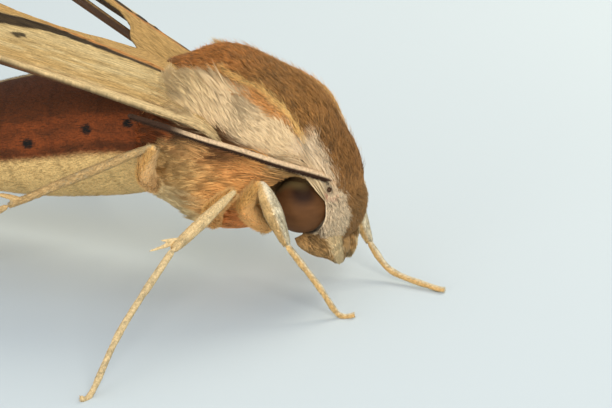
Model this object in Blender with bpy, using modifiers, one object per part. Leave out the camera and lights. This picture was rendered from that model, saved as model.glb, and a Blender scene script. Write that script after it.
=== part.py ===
"""Brown-banded hunter hawk moth, life size, standing on a floor with its head bowed.

Sizes are in millimetres until a mesh is made. +X is forward, +Y the moth's left, +Z up.
Places are given from the middle of the eyes in X, from the body's middle plane in Y and from the floor in Z.
"""
import math

import bmesh
import bpy
import numpy as np
from mathutils import Matrix, Vector

# Driving sizes
MM = 0.001
GAP = 0.3
EYE_X = 13.2
MIDDLE_Y = 2.5
EYE_Y = 1.7
EYE_Z = 5.5
EYE_RADIUS = 1.55
EYE_INNER = 1.05
SIDES = {"r": -1, "l": 1}

# Body sections from tail to neck: place along X, height, half width, rise to the back, drop to the belly
BODY_SECTIONS = (
    (-33.0, 3.7, 0.3, 0.3, 0.3),
    (-30.5, 4.1, 1.3, 1.2, 1.15),
    (-26.5, 4.9, 2.6, 2.3, 2.25),
    (-22.0, 5.8, 3.5, 3.1, 3.1),
    (-17.5, 6.8, 4.0, 3.6, 3.85),
    (-13.0, 7.9, 4.2, 3.8, 4.2),
    (-9.5, 8.5, 4.1, 3.4, 4.1),
    (-6.5, 8.4, 4.4, 5.1, 5.1),
    (-3.8, 8.0, 4.4, 4.9, 5.0),
    (-1.5, 7.3, 3.8, 4.5, 4.0),
    (0.2, 6.5, 2.7, 3.05, 2.6),
    (1.4, 5.2, 2.1, 1.8, 1.8),
)
WAIST = 6.15
METATHORAX_END = 6.9
COLLAR_START = 9.55
COLLAR_END = 10.2
ABDOMEN_SEGMENTS = 8
BODY_SIDES = 32

# Head
HEAD_CENTRE = (0.7, 0.0, 5.4)
HEAD_SIZE = (2.2, 2.5, 2.3)
PALP_PATH = ((-0.5, 1.5, 3.4), (0.6, 1.25, 3.15), (1.45, 0.85, 3.0), (1.85, 0.48, 2.15))
PALP_RADII = (0.45, 0.72, 0.78, 0.26)
TONGUE_CENTRE = (0.45, 0.0, 2.6)
TONGUE_COIL = 0.62
TONGUE_RADIUS = 0.26
TONGUE_TURNS = 0.9
TONGUE_START = 100.0
TONGUE_TIGHTENING = 0.6
TONGUE_THINNING = 0.5
SCOOP_STRETCH = 2.0

# Antennae, from the brow back along the side under the wing's front edge
ANTENNA_PATH = (
    (1.6, 2.0, 7.5),
    (-0.1, 4.2, 8.65),
    (-1.9, 5.35, 9.45),
    (-3.9, 5.9, 9.95),
    (-6.0, 6.2, 10.45),
    (-8.2, 6.5, 10.9),
)
# The left antenna lies lower against the head than the right one
ANTENNA_SHIFT = {"r": (0.0, 0.0, 0.0), "l": (-0.35, 0.0, -0.5)}
ANTENNA_RADIUS = 0.3
ANTENNA_TIP_RADIUS = 0.16

# Wings: the root of the front edge, the root of the ridge, and the directions of both lines
WING_THICKNESS = 0.5
COSTA_ROOT = (-2.3, 4.6, 9.3)
RIDGE_ROOT = (-7.0, 2.5, 12.4)
COSTA_OUT = 18.0
COSTA_RISE = 15.6
RIDGE_SPREAD = 3.0
RIDGE_FOLD = 40.0
RIDGE_BEND = 0.7
# The left wing is held a little further back, in and down than the right one, and its front slopes more
WING_SHIFT = {"r": (0.0, 0.0, 0.0), "l": (-0.5, -0.3, -1.0)}
WING_ROLL = {"r": 0.0, "l": 15.0}
# Front and back edges from root to tip: distance along the wing's front line and across from it
FOREWING_FRONT = ((-0.6, 0.4), (33.0, 1.4))
FOREWING_BACK = (
    (-0.6, 0.9),
    (3.6, 3.6),
    (5.2, 5.4),
    (7.4, 6.7),
    (9.5, 6.1),
    (10.5, 5.3),
    (12.0, 4.85),
    (14.5, 5.0),
    (18.5, 6.6),
    (24.2, 9.6),
    (28.4, 7.2),
    (31.6, 3.8),
    (33.0, 1.9),
)
HINDWING_FRONT = ((1.6, 1.6), (20.2, 1.4))
HINDWING_BACK = (
    (1.6, 2.1),
    (4.0, 3.8),
    (5.4, 4.8),
    (7.4, 4.8),
    (9.0, 3.9),
    (11.0, 3.1),
    (14.6, 3.6),
    (18.0, 4.2),
    (19.6, 3.7),
    (20.2, 1.9),
)
HINDWING_BELOW = 0.9
VEIN_RISE = 0.2
VEIN_REACH = 1.4
WING_COLUMN = 3.5
WING_CLEAR_START = 4.5
FOREWING_VEINS = 9
HINDWING_VEINS = 6

# Shoulder plates, let into the body: middle and reach as a section of the body and an angle round it
TEGULA_MIDDLE = (8.8, 143.0)
TEGULA_REACH = (1.15, 19.0)
TEGULA_PER_MM = (0.5, 13.0)
TEGULA_TAPER = 0.3
TEGULA_EDGE = 0.1
TEGULA_CROWN = 0.35
TEGULA_DEPTH = 0.45
TEGULA_LIFT = 1.5

# Legs: hip inside the body, end of the coxa, knee, ankle, middle of the foot and toe, seen on the moth's left
FORE_HIP = ((-3.2, 1.4, 6.0), (-1.8, 2.0, 3.9))
MID_HIP = ((-6.4, 1.3, 6.0), (-5.2, 2.2, 3.8))
LEGS = {
    "fore_r": (*FORE_HIP, (-1.35, 4.0, 7.4), (0.57, 4.5, 4.1), (2.2, 4.0, 1.9), (4.1, 3.2, 0.0)),
    "fore_l": (*FORE_HIP, (-0.7, 4.7, 5.7), (1.75, 3.5, 1.9), (3.3, 3.1, 0.6), (6.9, 2.6, 0.0)),
    "mid_r": (*MID_HIP, (-1.6, 6.4, 7.5), (-2.2, 12.2, 5.9), (-2.8, 16.6, 2.9), (-3.2, 20.2, 0.0)),
    "mid_l": (*MID_HIP, (-3.6, 6.4, 7.4), (-6.6, 10.2, 5.0), (-8.0, 12.4, 2.4), (-9.4, 14.6, 0.0)),
}
HIND_LEG = (
    (-9.0, 1.2, 7.4),
    (-8.9, 2.2, 5.3),
    (-7.2, 5.4, 9.0),
    (-14.9, 8.5, 5.2),
    (-19.4, 10.6, 2.5),
    (-23.7, 12.9, 0.0),
)
LEGS.update({"hind_r": HIND_LEG, "hind_l": HIND_LEG})
FEMUR_BOW = {"fore": (-0.7, 0.9), "mid": (-0.3, 0.8), "hind": (0.0, 1.2)}
COXA_RADII = (0.8, 0.75, 0.5)
FEMUR_START = 0.14
FEMUR_RADII = (0.42, 0.55, 0.5, 0.3)
KNEE_RADIUS = 0.32
KNEE_REACH = 0.95
KNEE_NECK = 0.9
LEAD_OVERLAP = 0.1
FEMUR_CLEAR_START = 5.2
ANKLE_GAP = 0.2
FORE_TIBIA_RADII = (0.26, 0.55, 0.5, 0.3)
TIBIA_RADII = (0.28, 0.42, 0.38, 0.28)
TARSUS_RADII = (0.27, 0.25, 0.25)
TARSUS_REST = 0.2
TOE_LENGTH = 0.9
# Spurs: the places of the pairs down the shin, and the lengths and the backward and upward leans of a pair
SPUR_PLACES = {"mid": (0.84,), "hind": (0.9,)}
SPUR_LENGTHS = (2.0, 1.3)
SPUR_LEANS = {"mid": ((-0.75, 0.0), (-0.7, 0.4)), "hind": ((-0.1, 0.6), (-0.5, 0.75))}
SPUR_RADIUS = 0.25
SPUR_MIDDLE = 0.8
SPUR_TIP = 0.08
SHARP_EDGE = 50.0

COLOURS = {
    "coat": ((0.36, 0.19, 0.075), 0.85),
    "pale": ((0.62, 0.50, 0.33), 0.85),
    "belly": ((0.50, 0.27, 0.11), 0.85),
    "eye": ((0.10, 0.045, 0.02), 0.25),
    "wing": ((0.50, 0.35, 0.17), 0.75),
    "leg": ((0.52, 0.42, 0.26), 0.7),
}


def clear_scene():
    for old in list(bpy.data.objects):
        bpy.data.objects.remove(old, do_unlink=True)


def material(name):
    """The Principled material of one of the named colours."""
    found = bpy.data.materials.get(name)
    if found:
        return found
    colour, rough = COLOURS[name]
    made = bpy.data.materials.new(name)
    made.use_nodes = True
    shader = made.node_tree.nodes["Principled BSDF"]
    shader.inputs["Base Color"].default_value = (*colour, 1.0)
    shader.inputs["Roughness"].default_value = rough
    shader.inputs["Metallic"].default_value = 0.0
    return made


def place(point, side=1):
    """A named place as a point of the model, in millimetres, mirrored for side -1."""
    return Vector((EYE_X + point[0], MIDDLE_Y + side * point[1], point[2]))


def along(rows, at):
    """A smooth curve through the rows, read at a fractional row number."""
    last = len(rows) - 1
    low = min(max(int(at), 0), last - 1)
    f = at - low
    a, b, c, d = (np.array(rows[min(max(k, 0), last)], float) for k in range(low - 1, low + 3))
    return 0.5 * (2 * b + (c - a) * f + (2 * a - 5 * b + 4 * c - d) * f * f + (3 * b - a - 3 * c + d) * f**3)


def path(points, count):
    """Points spaced along the smooth curve through the given ones."""
    last = len(points) - 1
    return [Vector(along(points, last * k / (count - 1))) for k in range(count)]


def new_object(name, bm, look):
    """An object from a bmesh in millimetres, with its faces turned out."""
    bmesh.ops.recalc_face_normals(bm, faces=bm.faces)
    bmesh.ops.scale(bm, vec=Vector((MM, MM, MM)), verts=bm.verts)
    mesh = bpy.data.meshes.new(name)
    bm.to_mesh(mesh)
    bm.free()
    mesh.shade_smooth()
    mesh.set_sharp_from_angle(angle=math.radians(SHARP_EDGE))
    made = bpy.data.objects.new(name, mesh)
    made.data.materials.append(material(look))
    MOTH.objects.link(made)
    return made


def apply_modifiers(thing):
    """Puts the evaluated mesh in place of the object's own."""
    graph = bpy.context.evaluated_depsgraph_get()
    thing.data = bpy.data.meshes.new_from_object(thing.evaluated_get(graph))
    thing.modifiers.clear()


def keep_largest(thing):
    """Leaves only the closed surface with the largest volume."""
    bm = bmesh.new()
    bm.from_mesh(thing.data)
    unseen = set(bm.verts)
    shells = []
    while unseen:
        front = [unseen.pop()]
        shell = set(front)
        while front:
            for edge in front.pop().link_edges:
                for vert in edge.verts:
                    if vert in unseen:
                        unseen.discard(vert)
                        shell.add(vert)
                        front.append(vert)
        shells.append(shell)

    def volume(shell):
        total = 0.0
        for face in {f for v in shell for f in v.link_faces}:
            corners = [v.co for v in face.verts]
            for second, third in zip(corners[1:], corners[2:]):
                total += corners[0].dot(second.cross(third)) / 6
        return total

    largest = max(shells, key=volume)
    bmesh.ops.delete(bm, geom=[v for v in bm.verts if v not in largest], context="VERTS")
    bm.to_mesh(thing.data)
    bm.free()


def combine(thing, others, operation, solver="MANIFOLD"):
    """Joins the other closed objects to this one, or cuts them from it, and removes them."""
    group = bpy.data.collections.new(thing.name + "_others")
    bpy.context.scene.collection.children.link(group)
    for other in others:
        MOTH.objects.unlink(other)
        group.objects.link(other)
    step = thing.modifiers.new(operation.lower(), "BOOLEAN")
    step.operation = operation
    step.operand_type = "COLLECTION"
    step.collection = group
    step.solver = solver
    apply_modifiers(thing)
    keep_largest(thing)
    for other in others:
        bpy.data.objects.remove(other)
    bpy.data.collections.remove(group)


def loft(name, rings, look):
    """A closed body through rings of points, with a flat end at each of the two last rings."""
    bm = bmesh.new()
    rows = [[bm.verts.new(point) for point in ring] for ring in rings]
    for near, far in zip(rows, rows[1:]):
        for k in range(len(near)):
            j = (k + 1) % len(near)
            bm.faces.new((near[k], near[j], far[j], far[k]))
    bm.faces.new(rows[0])
    bm.faces.new(rows[-1])
    return new_object(name, bm, look)


def tube(name, points, radii, look, sides=2):
    """A closed tube along the points, with a radius at each."""
    curve = bpy.data.curves.new(name, "CURVE")
    curve.dimensions = "3D"
    curve.bevel_depth = MM
    curve.bevel_resolution = sides
    curve.use_fill_caps = True
    spline = curve.splines.new("POLY")
    spline.points.add(len(points) - 1)
    for knot, point, radius in zip(spline.points, points, radii):
        knot.co = (*(Vector(point) * MM), 1.0)
        knot.radius = radius
    guide = bpy.data.objects.new(name, curve)
    MOTH.objects.link(guide)
    graph = bpy.context.evaluated_depsgraph_get()
    mesh = bpy.data.meshes.new_from_object(guide.evaluated_get(graph))
    bpy.data.objects.remove(guide)
    bpy.data.curves.remove(curve)
    bm = bmesh.new()
    bm.from_mesh(mesh)
    bpy.data.meshes.remove(mesh)
    bmesh.ops.remove_doubles(bm, verts=bm.verts, dist=MM / 1000)
    bmesh.ops.scale(bm, vec=Vector((1 / MM, 1 / MM, 1 / MM)), verts=bm.verts)
    return new_object(name, bm, look)


def ball(name, centre, size, look, segments=24, rings=14):
    """A sphere stretched to the given half sizes."""
    bm = bmesh.new()
    bmesh.ops.create_uvsphere(bm, u_segments=segments, v_segments=rings, radius=1.0)
    bmesh.ops.transform(bm, matrix=Matrix.LocRotScale(centre, None, Vector(size)), verts=bm.verts)
    return new_object(name, bm, look)


def slice_off(thing, point, outward):
    """Cuts away what lies beyond a plane and closes the cut."""
    bm = bmesh.new()
    bm.from_mesh(thing.data)
    everything = bm.verts[:] + bm.edges[:] + bm.faces[:]
    cut = bmesh.ops.bisect_plane(
        bm, geom=everything, dist=1e-7, plane_co=Vector(point) * MM, plane_no=outward, clear_outer=True
    )
    rim = [item for item in cut["geom_cut"] if isinstance(item, bmesh.types.BMEdge)]
    bmesh.ops.contextual_create(bm, geom=rim)
    bmesh.ops.recalc_face_normals(bm, faces=bm.faces)
    bm.to_mesh(thing.data)
    bm.free()


# Body
def body_frame(at):
    """Middle of the body's section and its forward and back-ward directions there."""
    step = 0.05
    middle = along(BODY_SECTIONS, at)
    ahead = along(BODY_SECTIONS, at + step) - along(BODY_SECTIONS, at - step)
    forward = Vector((ahead[0], 0.0, ahead[1])).normalized()
    return middle, forward, Vector((-forward.z, 0.0, forward.x))


def body_point(at, angle, grow=0.0):
    """A point of the body's surface: angle 0 is the moth's left, a quarter turn is its back."""
    middle, _, back = body_frame(at)
    high = middle[3] if math.sin(angle) > 0 else middle[4]
    centre = place((middle[0], 0.0, middle[1]))
    across = (middle[2] + grow) * math.cos(angle)
    return centre + Vector((0.0, across, 0.0)) + back * ((high + grow) * math.sin(angle))


def body_piece(name, start, end, look, grow=0.0, rings=5, sides=BODY_SIDES):
    """The body between two sections, as one closed piece."""
    angles = [math.tau * j / sides for j in range(sides)]
    sections = np.linspace(start, end, rings)
    return loft(name, [[body_point(at, angle, grow) for angle in angles] for at in sections], look)


def shorten(at, distance):
    """The section that lies a distance ahead of another along the body."""
    step = 0.05
    moved = along(BODY_SECTIONS, at + step) - along(BODY_SECTIONS, at - step)
    return at + distance * 2 * step / np.linalg.norm(moved[:2])


def build_body():
    joints = [WAIST * k / ABDOMEN_SEGMENTS for k in range(ABDOMEN_SEGMENTS + 1)]
    for k, (start, end) in enumerate(zip(joints, joints[1:])):
        number = ABDOMEN_SEGMENTS - k
        name = "abdomen_tip" if k == 0 else f"abdomen_{number}"
        body_piece(name, start, shorten(end, -GAP), "belly", rings=4)
    body_piece("metathorax", WAIST, shorten(METATHORAX_END, -GAP), "coat", rings=4)
    body_piece("mesothorax", METATHORAX_END, shorten(COLLAR_START, -GAP), "coat", rings=10)
    body_piece("collar", COLLAR_START, COLLAR_END, "coat", rings=4)


def body_clearance(name, start, end, sides=BODY_SIDES):
    """A cutter that keeps a gap round a stretch of the body."""
    return body_piece(name, shorten(start, -GAP), shorten(end, GAP), "coat", GAP, rings=10, sides=sides)


# Head
def build_head():
    head = ball("head", place(HEAD_CENTRE), HEAD_SIZE, "coat")
    middle, forward, _ = body_frame(COLLAR_END)
    neck = place((middle[0], 0.0, middle[1])) + forward * GAP
    slice_off(head, neck, -forward)
    sockets = []
    for side in SIDES.values():
        socket = eye_ball("socket", side, EYE_RADIUS + GAP, EYE_INNER - GAP)
        sockets.append(socket)
    combine(head, sockets, "DIFFERENCE")
    for host in ("collar", "mesothorax"):
        scoops = []
        for side in SIDES.values():
            scoops.append(eye_ball("scoop", side, EYE_RADIUS + GAP, EYE_INNER - GAP, SCOOP_STRETCH))
        combine(bpy.data.objects[host], scoops, "DIFFERENCE")
    combine(head, [tongue_groove()], "DIFFERENCE")
    for key, side in SIDES.items():
        eye_ball("eye_" + key, side, EYE_RADIUS, EYE_INNER)
        count = 9
        points = [place(p, side) for p in path(PALP_PATH, count)]
        palp = tube("palp_" + key, points, spread(PALP_RADII, count), "coat")
        slice_off(palp, place((0.0, GAP / 2, 0.0), side), (0.0, -side, 0.0))
        clear = ball("clear", place(HEAD_CENTRE), [s + GAP for s in HEAD_SIZE], "coat")
        near_eye = eye_ball("near_eye", side, EYE_RADIUS + GAP, EYE_INNER - GAP)
        combine(palp, [clear, near_eye, tongue_groove()], "DIFFERENCE")
    build_tongue()


def eye_ball(name, side, radius, inner, stretch=1.0):
    """One domed eye, flat where it sits in the head."""
    eye = ball(name, place((0.0, EYE_Y, EYE_Z), side), (radius, radius * stretch, radius), "eye")
    slice_off(eye, place((0.0, inner, 0.0), side), (0.0, -side, 0.0))
    return eye


def tongue_groove():
    """A disc that clears the coiled proboscis."""
    half = Vector((0.0, TONGUE_RADIUS + GAP, 0.0))
    centre = place(TONGUE_CENTRE)
    reach = TONGUE_COIL + TONGUE_RADIUS + GAP
    return tube("groove", (centre - half, centre + half), (reach, reach), "coat", 4)


def build_tongue():
    """The coiled proboscis between the palps."""
    count = 22
    centre = place(TONGUE_CENTRE)
    points = []
    for k in range(count):
        share = k / (count - 1)
        angle = math.radians(TONGUE_START) - math.tau * TONGUE_TURNS * share
        reach = TONGUE_COIL * (1 - TONGUE_TIGHTENING * share)
        points.append(centre + Vector((math.cos(angle) * reach, 0.0, math.sin(angle) * reach)))
    radii = [TONGUE_RADIUS * (1 - TONGUE_THINNING * k / count) for k in range(count)]
    tube("proboscis", points, radii, "belly", 1)


def antenna(name, key, grow=0.0):
    """One antenna, thinning to its tip."""
    count = 16
    shift = Vector(ANTENNA_SHIFT[key])
    points = [place(p + shift, SIDES[key]) for p in path(ANTENNA_PATH, count)]
    thinning = ANTENNA_TIP_RADIUS - ANTENNA_RADIUS
    radii = [ANTENNA_RADIUS + thinning * (k / (count - 1)) ** 2 + grow for k in range(count)]
    points[0] += (points[0] - points[1]).normalized() * grow
    return tube(name, points, radii, "pale")


def build_antennae():
    for key in SIDES:
        antenna("antenna_" + key, key)
        for host in ("collar", "mesothorax", "tegula_" + key, "forewing_" + key):
            combine(bpy.data.objects[host], [antenna("clear", key, GAP)], "DIFFERENCE")


# Wings
def direction(out, rise, side):
    """A unit vector that points back, a number of degrees outward and upward."""
    out, rise = math.radians(out), math.radians(rise)
    flat = math.cos(rise)
    return Vector((-math.cos(out) * flat, side * math.sin(out) * flat, math.sin(rise)))


def wing_point(key, length, chord, below=0.0):
    """A point of the wing, from its length along the front edge and its distance across from there."""
    side = SIDES[key]
    shift = np.array(WING_SHIFT[key])
    costa_root, ridge_root = place(COSTA_ROOT + shift, side), place(RIDGE_ROOT + shift, side)
    costa = direction(COSTA_OUT, COSTA_RISE, side)
    inward = ridge_root - costa_root
    inward -= costa * inward.dot(costa)
    hinge, width = costa_root + inward, inward.length
    roll = Matrix.Rotation(math.radians(WING_ROLL[key]) * side, 3, costa)
    inward = roll @ inward.normalized()
    costa_root = hinge - inward * width
    up = costa.cross(inward) * side
    spread = math.radians(RIDGE_SPREAD)
    ridge = costa * math.cos(spread) + inward * math.sin(spread)
    across = inward * math.cos(spread) - costa * math.sin(spread)
    flat = costa_root + costa * length + inward * chord
    beyond = (flat - ridge_root).dot(across)
    if beyond < -RIDGE_BEND:
        return flat - up * below
    foot = ridge_root + ridge * (flat - ridge_root).dot(ridge)
    fold = math.radians(RIDGE_FOLD + WING_ROLL[key])
    radius = 2 * RIDGE_BEND / fold
    turned = min((beyond + RIDGE_BEND) / radius, fold)
    extra = max(beyond - RIDGE_BEND, 0.0)
    inner = -RIDGE_BEND + radius * math.sin(turned) + extra * math.cos(turned)
    sunk = radius * (1 - math.cos(turned)) + extra * math.sin(turned)
    normal = up * math.cos(turned) + across * math.sin(turned)
    return foot + across * inner - up * sunk - normal * below


def wing_columns(back):
    """Distances along the wing for its lattice: the back edge's own, and one between any far apart."""
    lengths = [length for length, _ in back]
    middles = [(a + b) / 2 for a, b in zip(lengths, lengths[1:]) if b - a > WING_COLUMN]
    return sorted(lengths + middles)


def wing(name, key, front, back, veins, below, look):
    """A wing as one thin curved sheet, its veins raised along rows from root to tip."""
    rows = 2 * veins + 1
    lengths = wing_columns(back)
    bm = bmesh.new()
    grid = []
    for i in range(rows):
        across = i / (rows - 1)
        line = []
        for length in lengths:
            low, high = (np.interp(length, *zip(*edge)) for edge in (front, back))
            outward = (length - lengths[0]) / (lengths[-1] - lengths[0])
            raised = VEIN_RISE * math.sin(math.pi * min(1.0, VEIN_REACH * (1 - outward))) if i % 2 else 0.0
            chord = low * (1 - across) + high * across
            line.append(bm.verts.new(wing_point(key, length, chord, below - raised)))
        grid.append(line)
    for upper, lower in zip(grid, grid[1:]):
        for j in range(len(lengths) - 1):
            bm.faces.new((upper[j], upper[j + 1], lower[j + 1]))
            bm.faces.new((upper[j], lower[j + 1], lower[j]))
    sheet = new_object(name, bm, look)
    thick = sheet.modifiers.new("thickness", "SOLIDIFY")
    thick.thickness = WING_THICKNESS * MM
    thick.offset = 0.0
    apply_modifiers(sheet)
    bm = bmesh.new()
    bm.from_mesh(sheet.data)
    bmesh.ops.recalc_face_normals(bm, faces=bm.faces)
    bm.to_mesh(sheet.data)
    bm.free()
    combine(sheet, [body_clearance("clear", WING_CLEAR_START, COLLAR_START, 24)], "DIFFERENCE")


def build_wings():
    for key in SIDES:
        wing("forewing_" + key, key, FOREWING_FRONT, FOREWING_BACK, FOREWING_VEINS, 0.0, "wing")
        wing("hindwing_" + key, key, HINDWING_FRONT, HINDWING_BACK, HINDWING_VEINS, HINDWING_BELOW, "belly")


# Shoulder plates
def tegula(name, side, grow=0.0, lift=0.0, around=20, rings=5):
    """The shoulder plate, domed a little over the body's surface, or a cutter that clears it."""
    bm = bmesh.new()
    reach_at = TEGULA_REACH[0] + grow * TEGULA_PER_MM[0]
    reach_round = TEGULA_REACH[1] + grow * TEGULA_PER_MM[1]

    def surface(share, turn, crown):
        at = TEGULA_MIDDLE[0] + reach_at * share * math.cos(turn)
        reach = reach_round * (1 - TEGULA_TAPER * math.cos(turn))
        angle = math.radians(TEGULA_MIDDLE[1] + reach * share * math.sin(turn))
        high = TEGULA_EDGE + TEGULA_CROWN * (1 - share**2) + grow + lift if crown else -TEGULA_DEPTH - grow
        return bm.verts.new(body_point(at, math.pi - angle if side > 0 else angle, high))

    shells = []
    for crown in (True, False):
        shell = [[surface(0.0, 0.0, crown)]]
        for i in range(1, rings + 1):
            shell.append([surface(i / rings, math.tau * j / around, crown) for j in range(around)])
        shells.append(shell)
    for j in range(around):
        k = (j + 1) % around
        for shell in shells:
            bm.faces.new((shell[0][0], shell[1][j], shell[1][k]))
            for near, far in zip(shell[1:], shell[2:]):
                bm.faces.new((near[j], far[j], far[k], near[k]))
        top, bottom = shells[0][-1], shells[1][-1]
        bm.faces.new((top[j], bottom[j], bottom[k], top[k]))
    return new_object(name, bm, "pale")


def build_tegulae():
    for key, side in SIDES.items():
        tegula("tegula_" + key, side)
        for host in ("mesothorax", "collar", "forewing_" + key, "hindwing_" + key):
            combine(bpy.data.objects[host], [tegula("clear", side, GAP, TEGULA_LIFT)], "DIFFERENCE")


# Legs
def build_legs():
    pockets = []
    for name, places in LEGS.items():
        kind, key = name.split("_")
        side = SIDES[key]
        hip, trochanter, knee, ankle, foot, toe = (place(p, side) for p in places)
        tube(f"{kind}_coxa_{key}", bowed(hip, trochanter, (0.0, 0.0), side, 3), COXA_RADII, "coat")
        past = (trochanter - hip).normalized() * GAP
        pockets.append((hip - past, trochanter + past))
        clear_coxa = tube("clear", pockets[-1], (COXA_RADII[0] + GAP, COXA_RADII[-1] + GAP), "coat")
        toward = (ankle - knee).normalized()
        count = 7
        route = bowed(trochanter.lerp(knee, FEMUR_START), knee, FEMUR_BOW[kind], side, count)
        femur = tube(f"{kind}_femur_{key}", route, spread(FEMUR_RADII, count), "leg")
        neck = FEMUR_RADII[-1] * KNEE_NECK
        lead_ends = (knee - toward * LEAD_OVERLAP, knee + toward * KNEE_REACH)
        lead = tube("lead", lead_ends, (neck, neck), "leg")
        cap = ball("cap", knee, (KNEE_RADIUS,) * 3, "leg", 12, 8)
        combine(femur, [lead, cap], "UNION")
        clear_body = body_clearance("clear", FEMUR_CLEAR_START, COLLAR_END, 24)
        combine(femur, [clear_coxa, clear_body], "DIFFERENCE")
        start, end = knee + toward * (KNEE_REACH + GAP), ankle - toward * ANKLE_GAP
        radii = FORE_TIBIA_RADII if kind == "fore" else TIBIA_RADII
        tibia = tube(f"{kind}_tibia_{key}", bowed(start, end, (0.0, 0.0), side, 6), spread(radii, 6), "leg")
        if kind in SPUR_PLACES:
            combine(tibia, spurs(kind, knee, ankle), "UNION")
        build_tarsus(f"{kind}_tarsus_{key}", ankle, foot, toe)
    for node in ("collar", "mesothorax", "metathorax", "abdomen_1"):
        cutters = [tube("pocket", ends, [max(COXA_RADII) + GAP] * 2, "coat") for ends in pockets]
        combine(bpy.data.objects[node], cutters, "DIFFERENCE")


def bowed(start, end, bow, side, count):
    """Points from one joint to the next, bowed forward and outward between them."""
    middle = (start + end) / 2 + Vector((bow[0], side * bow[1], 0.0))
    return path((start, middle, end), count)


def spread(values, count):
    """Values read evenly along a short list of them."""
    return np.interp(np.linspace(0, 1, count), np.linspace(0, 1, len(values)), values)


def spurs(kind, knee, ankle):
    """The pairs of spurs on a shin, one long and one short."""
    toward = (ankle - knee).normalized()
    made = []
    for share in SPUR_PLACES[kind]:
        root = knee.lerp(ankle, share)
        for length, (back, up) in zip(SPUR_LENGTHS, SPUR_LEANS[kind]):
            lean = (toward + Vector((back, 0.0, up))).normalized()
            points = (root - lean * LEAD_OVERLAP, root + lean * length / 2, root + lean * length)
            made.append(tube("spur", points, (SPUR_RADIUS, SPUR_RADIUS * SPUR_MIDDLE, SPUR_TIP), "leg", 1))
    return made


def build_tarsus(name, ankle, foot, toe):
    """The foot, lying on a small flat at the floor."""
    toward = (foot - ankle).normalized()
    flat = Vector((toe.x - foot.x, toe.y - foot.y, 0.0)).normalized()
    end = Vector((toe.x, toe.y, TARSUS_REST))
    count = 12
    smooth = path((ankle + toward * ANKLE_GAP, foot, end - flat * TOE_LENGTH, end), count)
    tarsus = tube(name, smooth, spread(TARSUS_RADII, count), "leg")
    slice_off(tarsus, (0.0, 0.0, 0.0), (0.0, 0.0, -1.0))


clear_scene()
MOTH = bpy.data.collections.new("hawk_moth")
bpy.context.scene.collection.children.link(MOTH)
build_body()
build_head()
build_wings()
build_tegulae()
build_antennae()
build_legs()
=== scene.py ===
"""Looks of the brown-banded hunter hawk moth: skin, coat, wings, eyes, antennae, light and camera.

Places and sizes are in millimetres until a mesh is made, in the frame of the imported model: +X is
forward, +Y the moth's left and +Z up. Named places are given from the eyes in X and from the body's
middle plane in Y. Colours are linear.
"""

import itertools
import math

import bpy
import numpy as np
from mathutils import Matrix, Vector
from mathutils.kdtree import KDTree


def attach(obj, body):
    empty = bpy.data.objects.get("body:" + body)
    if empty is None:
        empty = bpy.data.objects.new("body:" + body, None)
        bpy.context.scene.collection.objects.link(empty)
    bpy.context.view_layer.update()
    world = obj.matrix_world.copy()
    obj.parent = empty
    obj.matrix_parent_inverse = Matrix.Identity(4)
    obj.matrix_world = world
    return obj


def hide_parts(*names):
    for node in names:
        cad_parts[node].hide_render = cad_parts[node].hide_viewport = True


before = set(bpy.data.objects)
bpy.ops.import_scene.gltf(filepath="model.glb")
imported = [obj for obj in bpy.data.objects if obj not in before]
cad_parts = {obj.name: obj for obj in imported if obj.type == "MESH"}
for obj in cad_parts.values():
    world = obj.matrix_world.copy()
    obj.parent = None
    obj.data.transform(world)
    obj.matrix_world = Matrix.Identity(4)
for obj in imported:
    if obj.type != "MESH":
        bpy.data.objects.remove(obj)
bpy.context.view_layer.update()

# Sizes shared with the solids
MM = 0.001
EYE_X = 13.2
MIDDLE_Y = 2.5
EYE_Y = 1.7
EYE_Z = 5.5
EYE_RADIUS = 1.55
EYE_CLEAR = 0.1
SIDES = {"r": -1, "l": 1}
# From tail to neck: X and Z of the middle, half width, reach above and below
BODY_SECTIONS = (
    (-33.0, 3.7, 0.3, 0.3, 0.3),
    (-30.5, 4.1, 1.3, 1.2, 1.15),
    (-26.5, 4.9, 2.6, 2.3, 2.25),
    (-22.0, 5.8, 3.5, 3.1, 3.1),
    (-17.5, 6.8, 4.0, 3.6, 3.85),
    (-13.0, 7.9, 4.2, 3.8, 4.2),
    (-9.5, 8.5, 4.1, 3.4, 4.1),
    (-6.5, 8.4, 4.4, 5.1, 5.1),
    (-3.8, 8.0, 4.4, 4.9, 5.0),
    (-1.5, 7.3, 3.8, 4.5, 4.0),
    (0.2, 6.5, 2.7, 3.05, 2.6),
    (1.4, 5.2, 2.1, 1.8, 1.8),
)
# Model X where the skin gets a little lighter to the rear, as painted shade darkens the skin under the
# thorax's long coat
COAT_SHADE_X = 4.3
# Places along the body, counted in sections from the tail
WAIST = 6.15
NECK = 11.0
NAPE_ROW = 9.9
# How many rings of the abdomen there are
SEGMENTS = 8
HEAD_CENTRE = (0.7, 0.0, 5.4)
HEAD_SIZE = (2.2, 2.5, 2.3)
PALP_PATH = ((-0.5, 1.5, 3.4), (0.6, 1.25, 3.15), (1.45, 0.85, 3.0), (1.85, 0.48, 2.15))
PALP_RADII = (0.32, 0.62, 0.76, 0.25)
CHEEK_PATH = ((-0.1, 1.3, 3.75), (0.8, 1.05, 3.5), (1.5, 0.75, 3.5), (1.9, 0.45, 3.5))
CHEEK_RADII = (0.45, 0.8, 0.85, 0.7)
CLEFT_PATH = ((1.2, 0.0, 3.6), (1.6, 0.0, 2.9), (1.75, 0.0, 2.3))
CLEFT_RADII = (0.75, 0.62, 0.32)
NAPE_PATH = ((0.3, 0.0, 7.0), (1.1, 0.0, 6.6), (1.6, 0.0, 5.8))
NAPE_RADII = (1.5, 1.65, 1.3)
NAPE_TURN = 0.28
NAPE_SWELL = 0.28
PIT = (1.74, 1.7, 6.67)
PIT_WELL = 0.19
OCELLUS_DEPTH = 0.35
OCELLUS_RISE = 0.2
OCELLUS_RADIUS = 0.14
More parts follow.
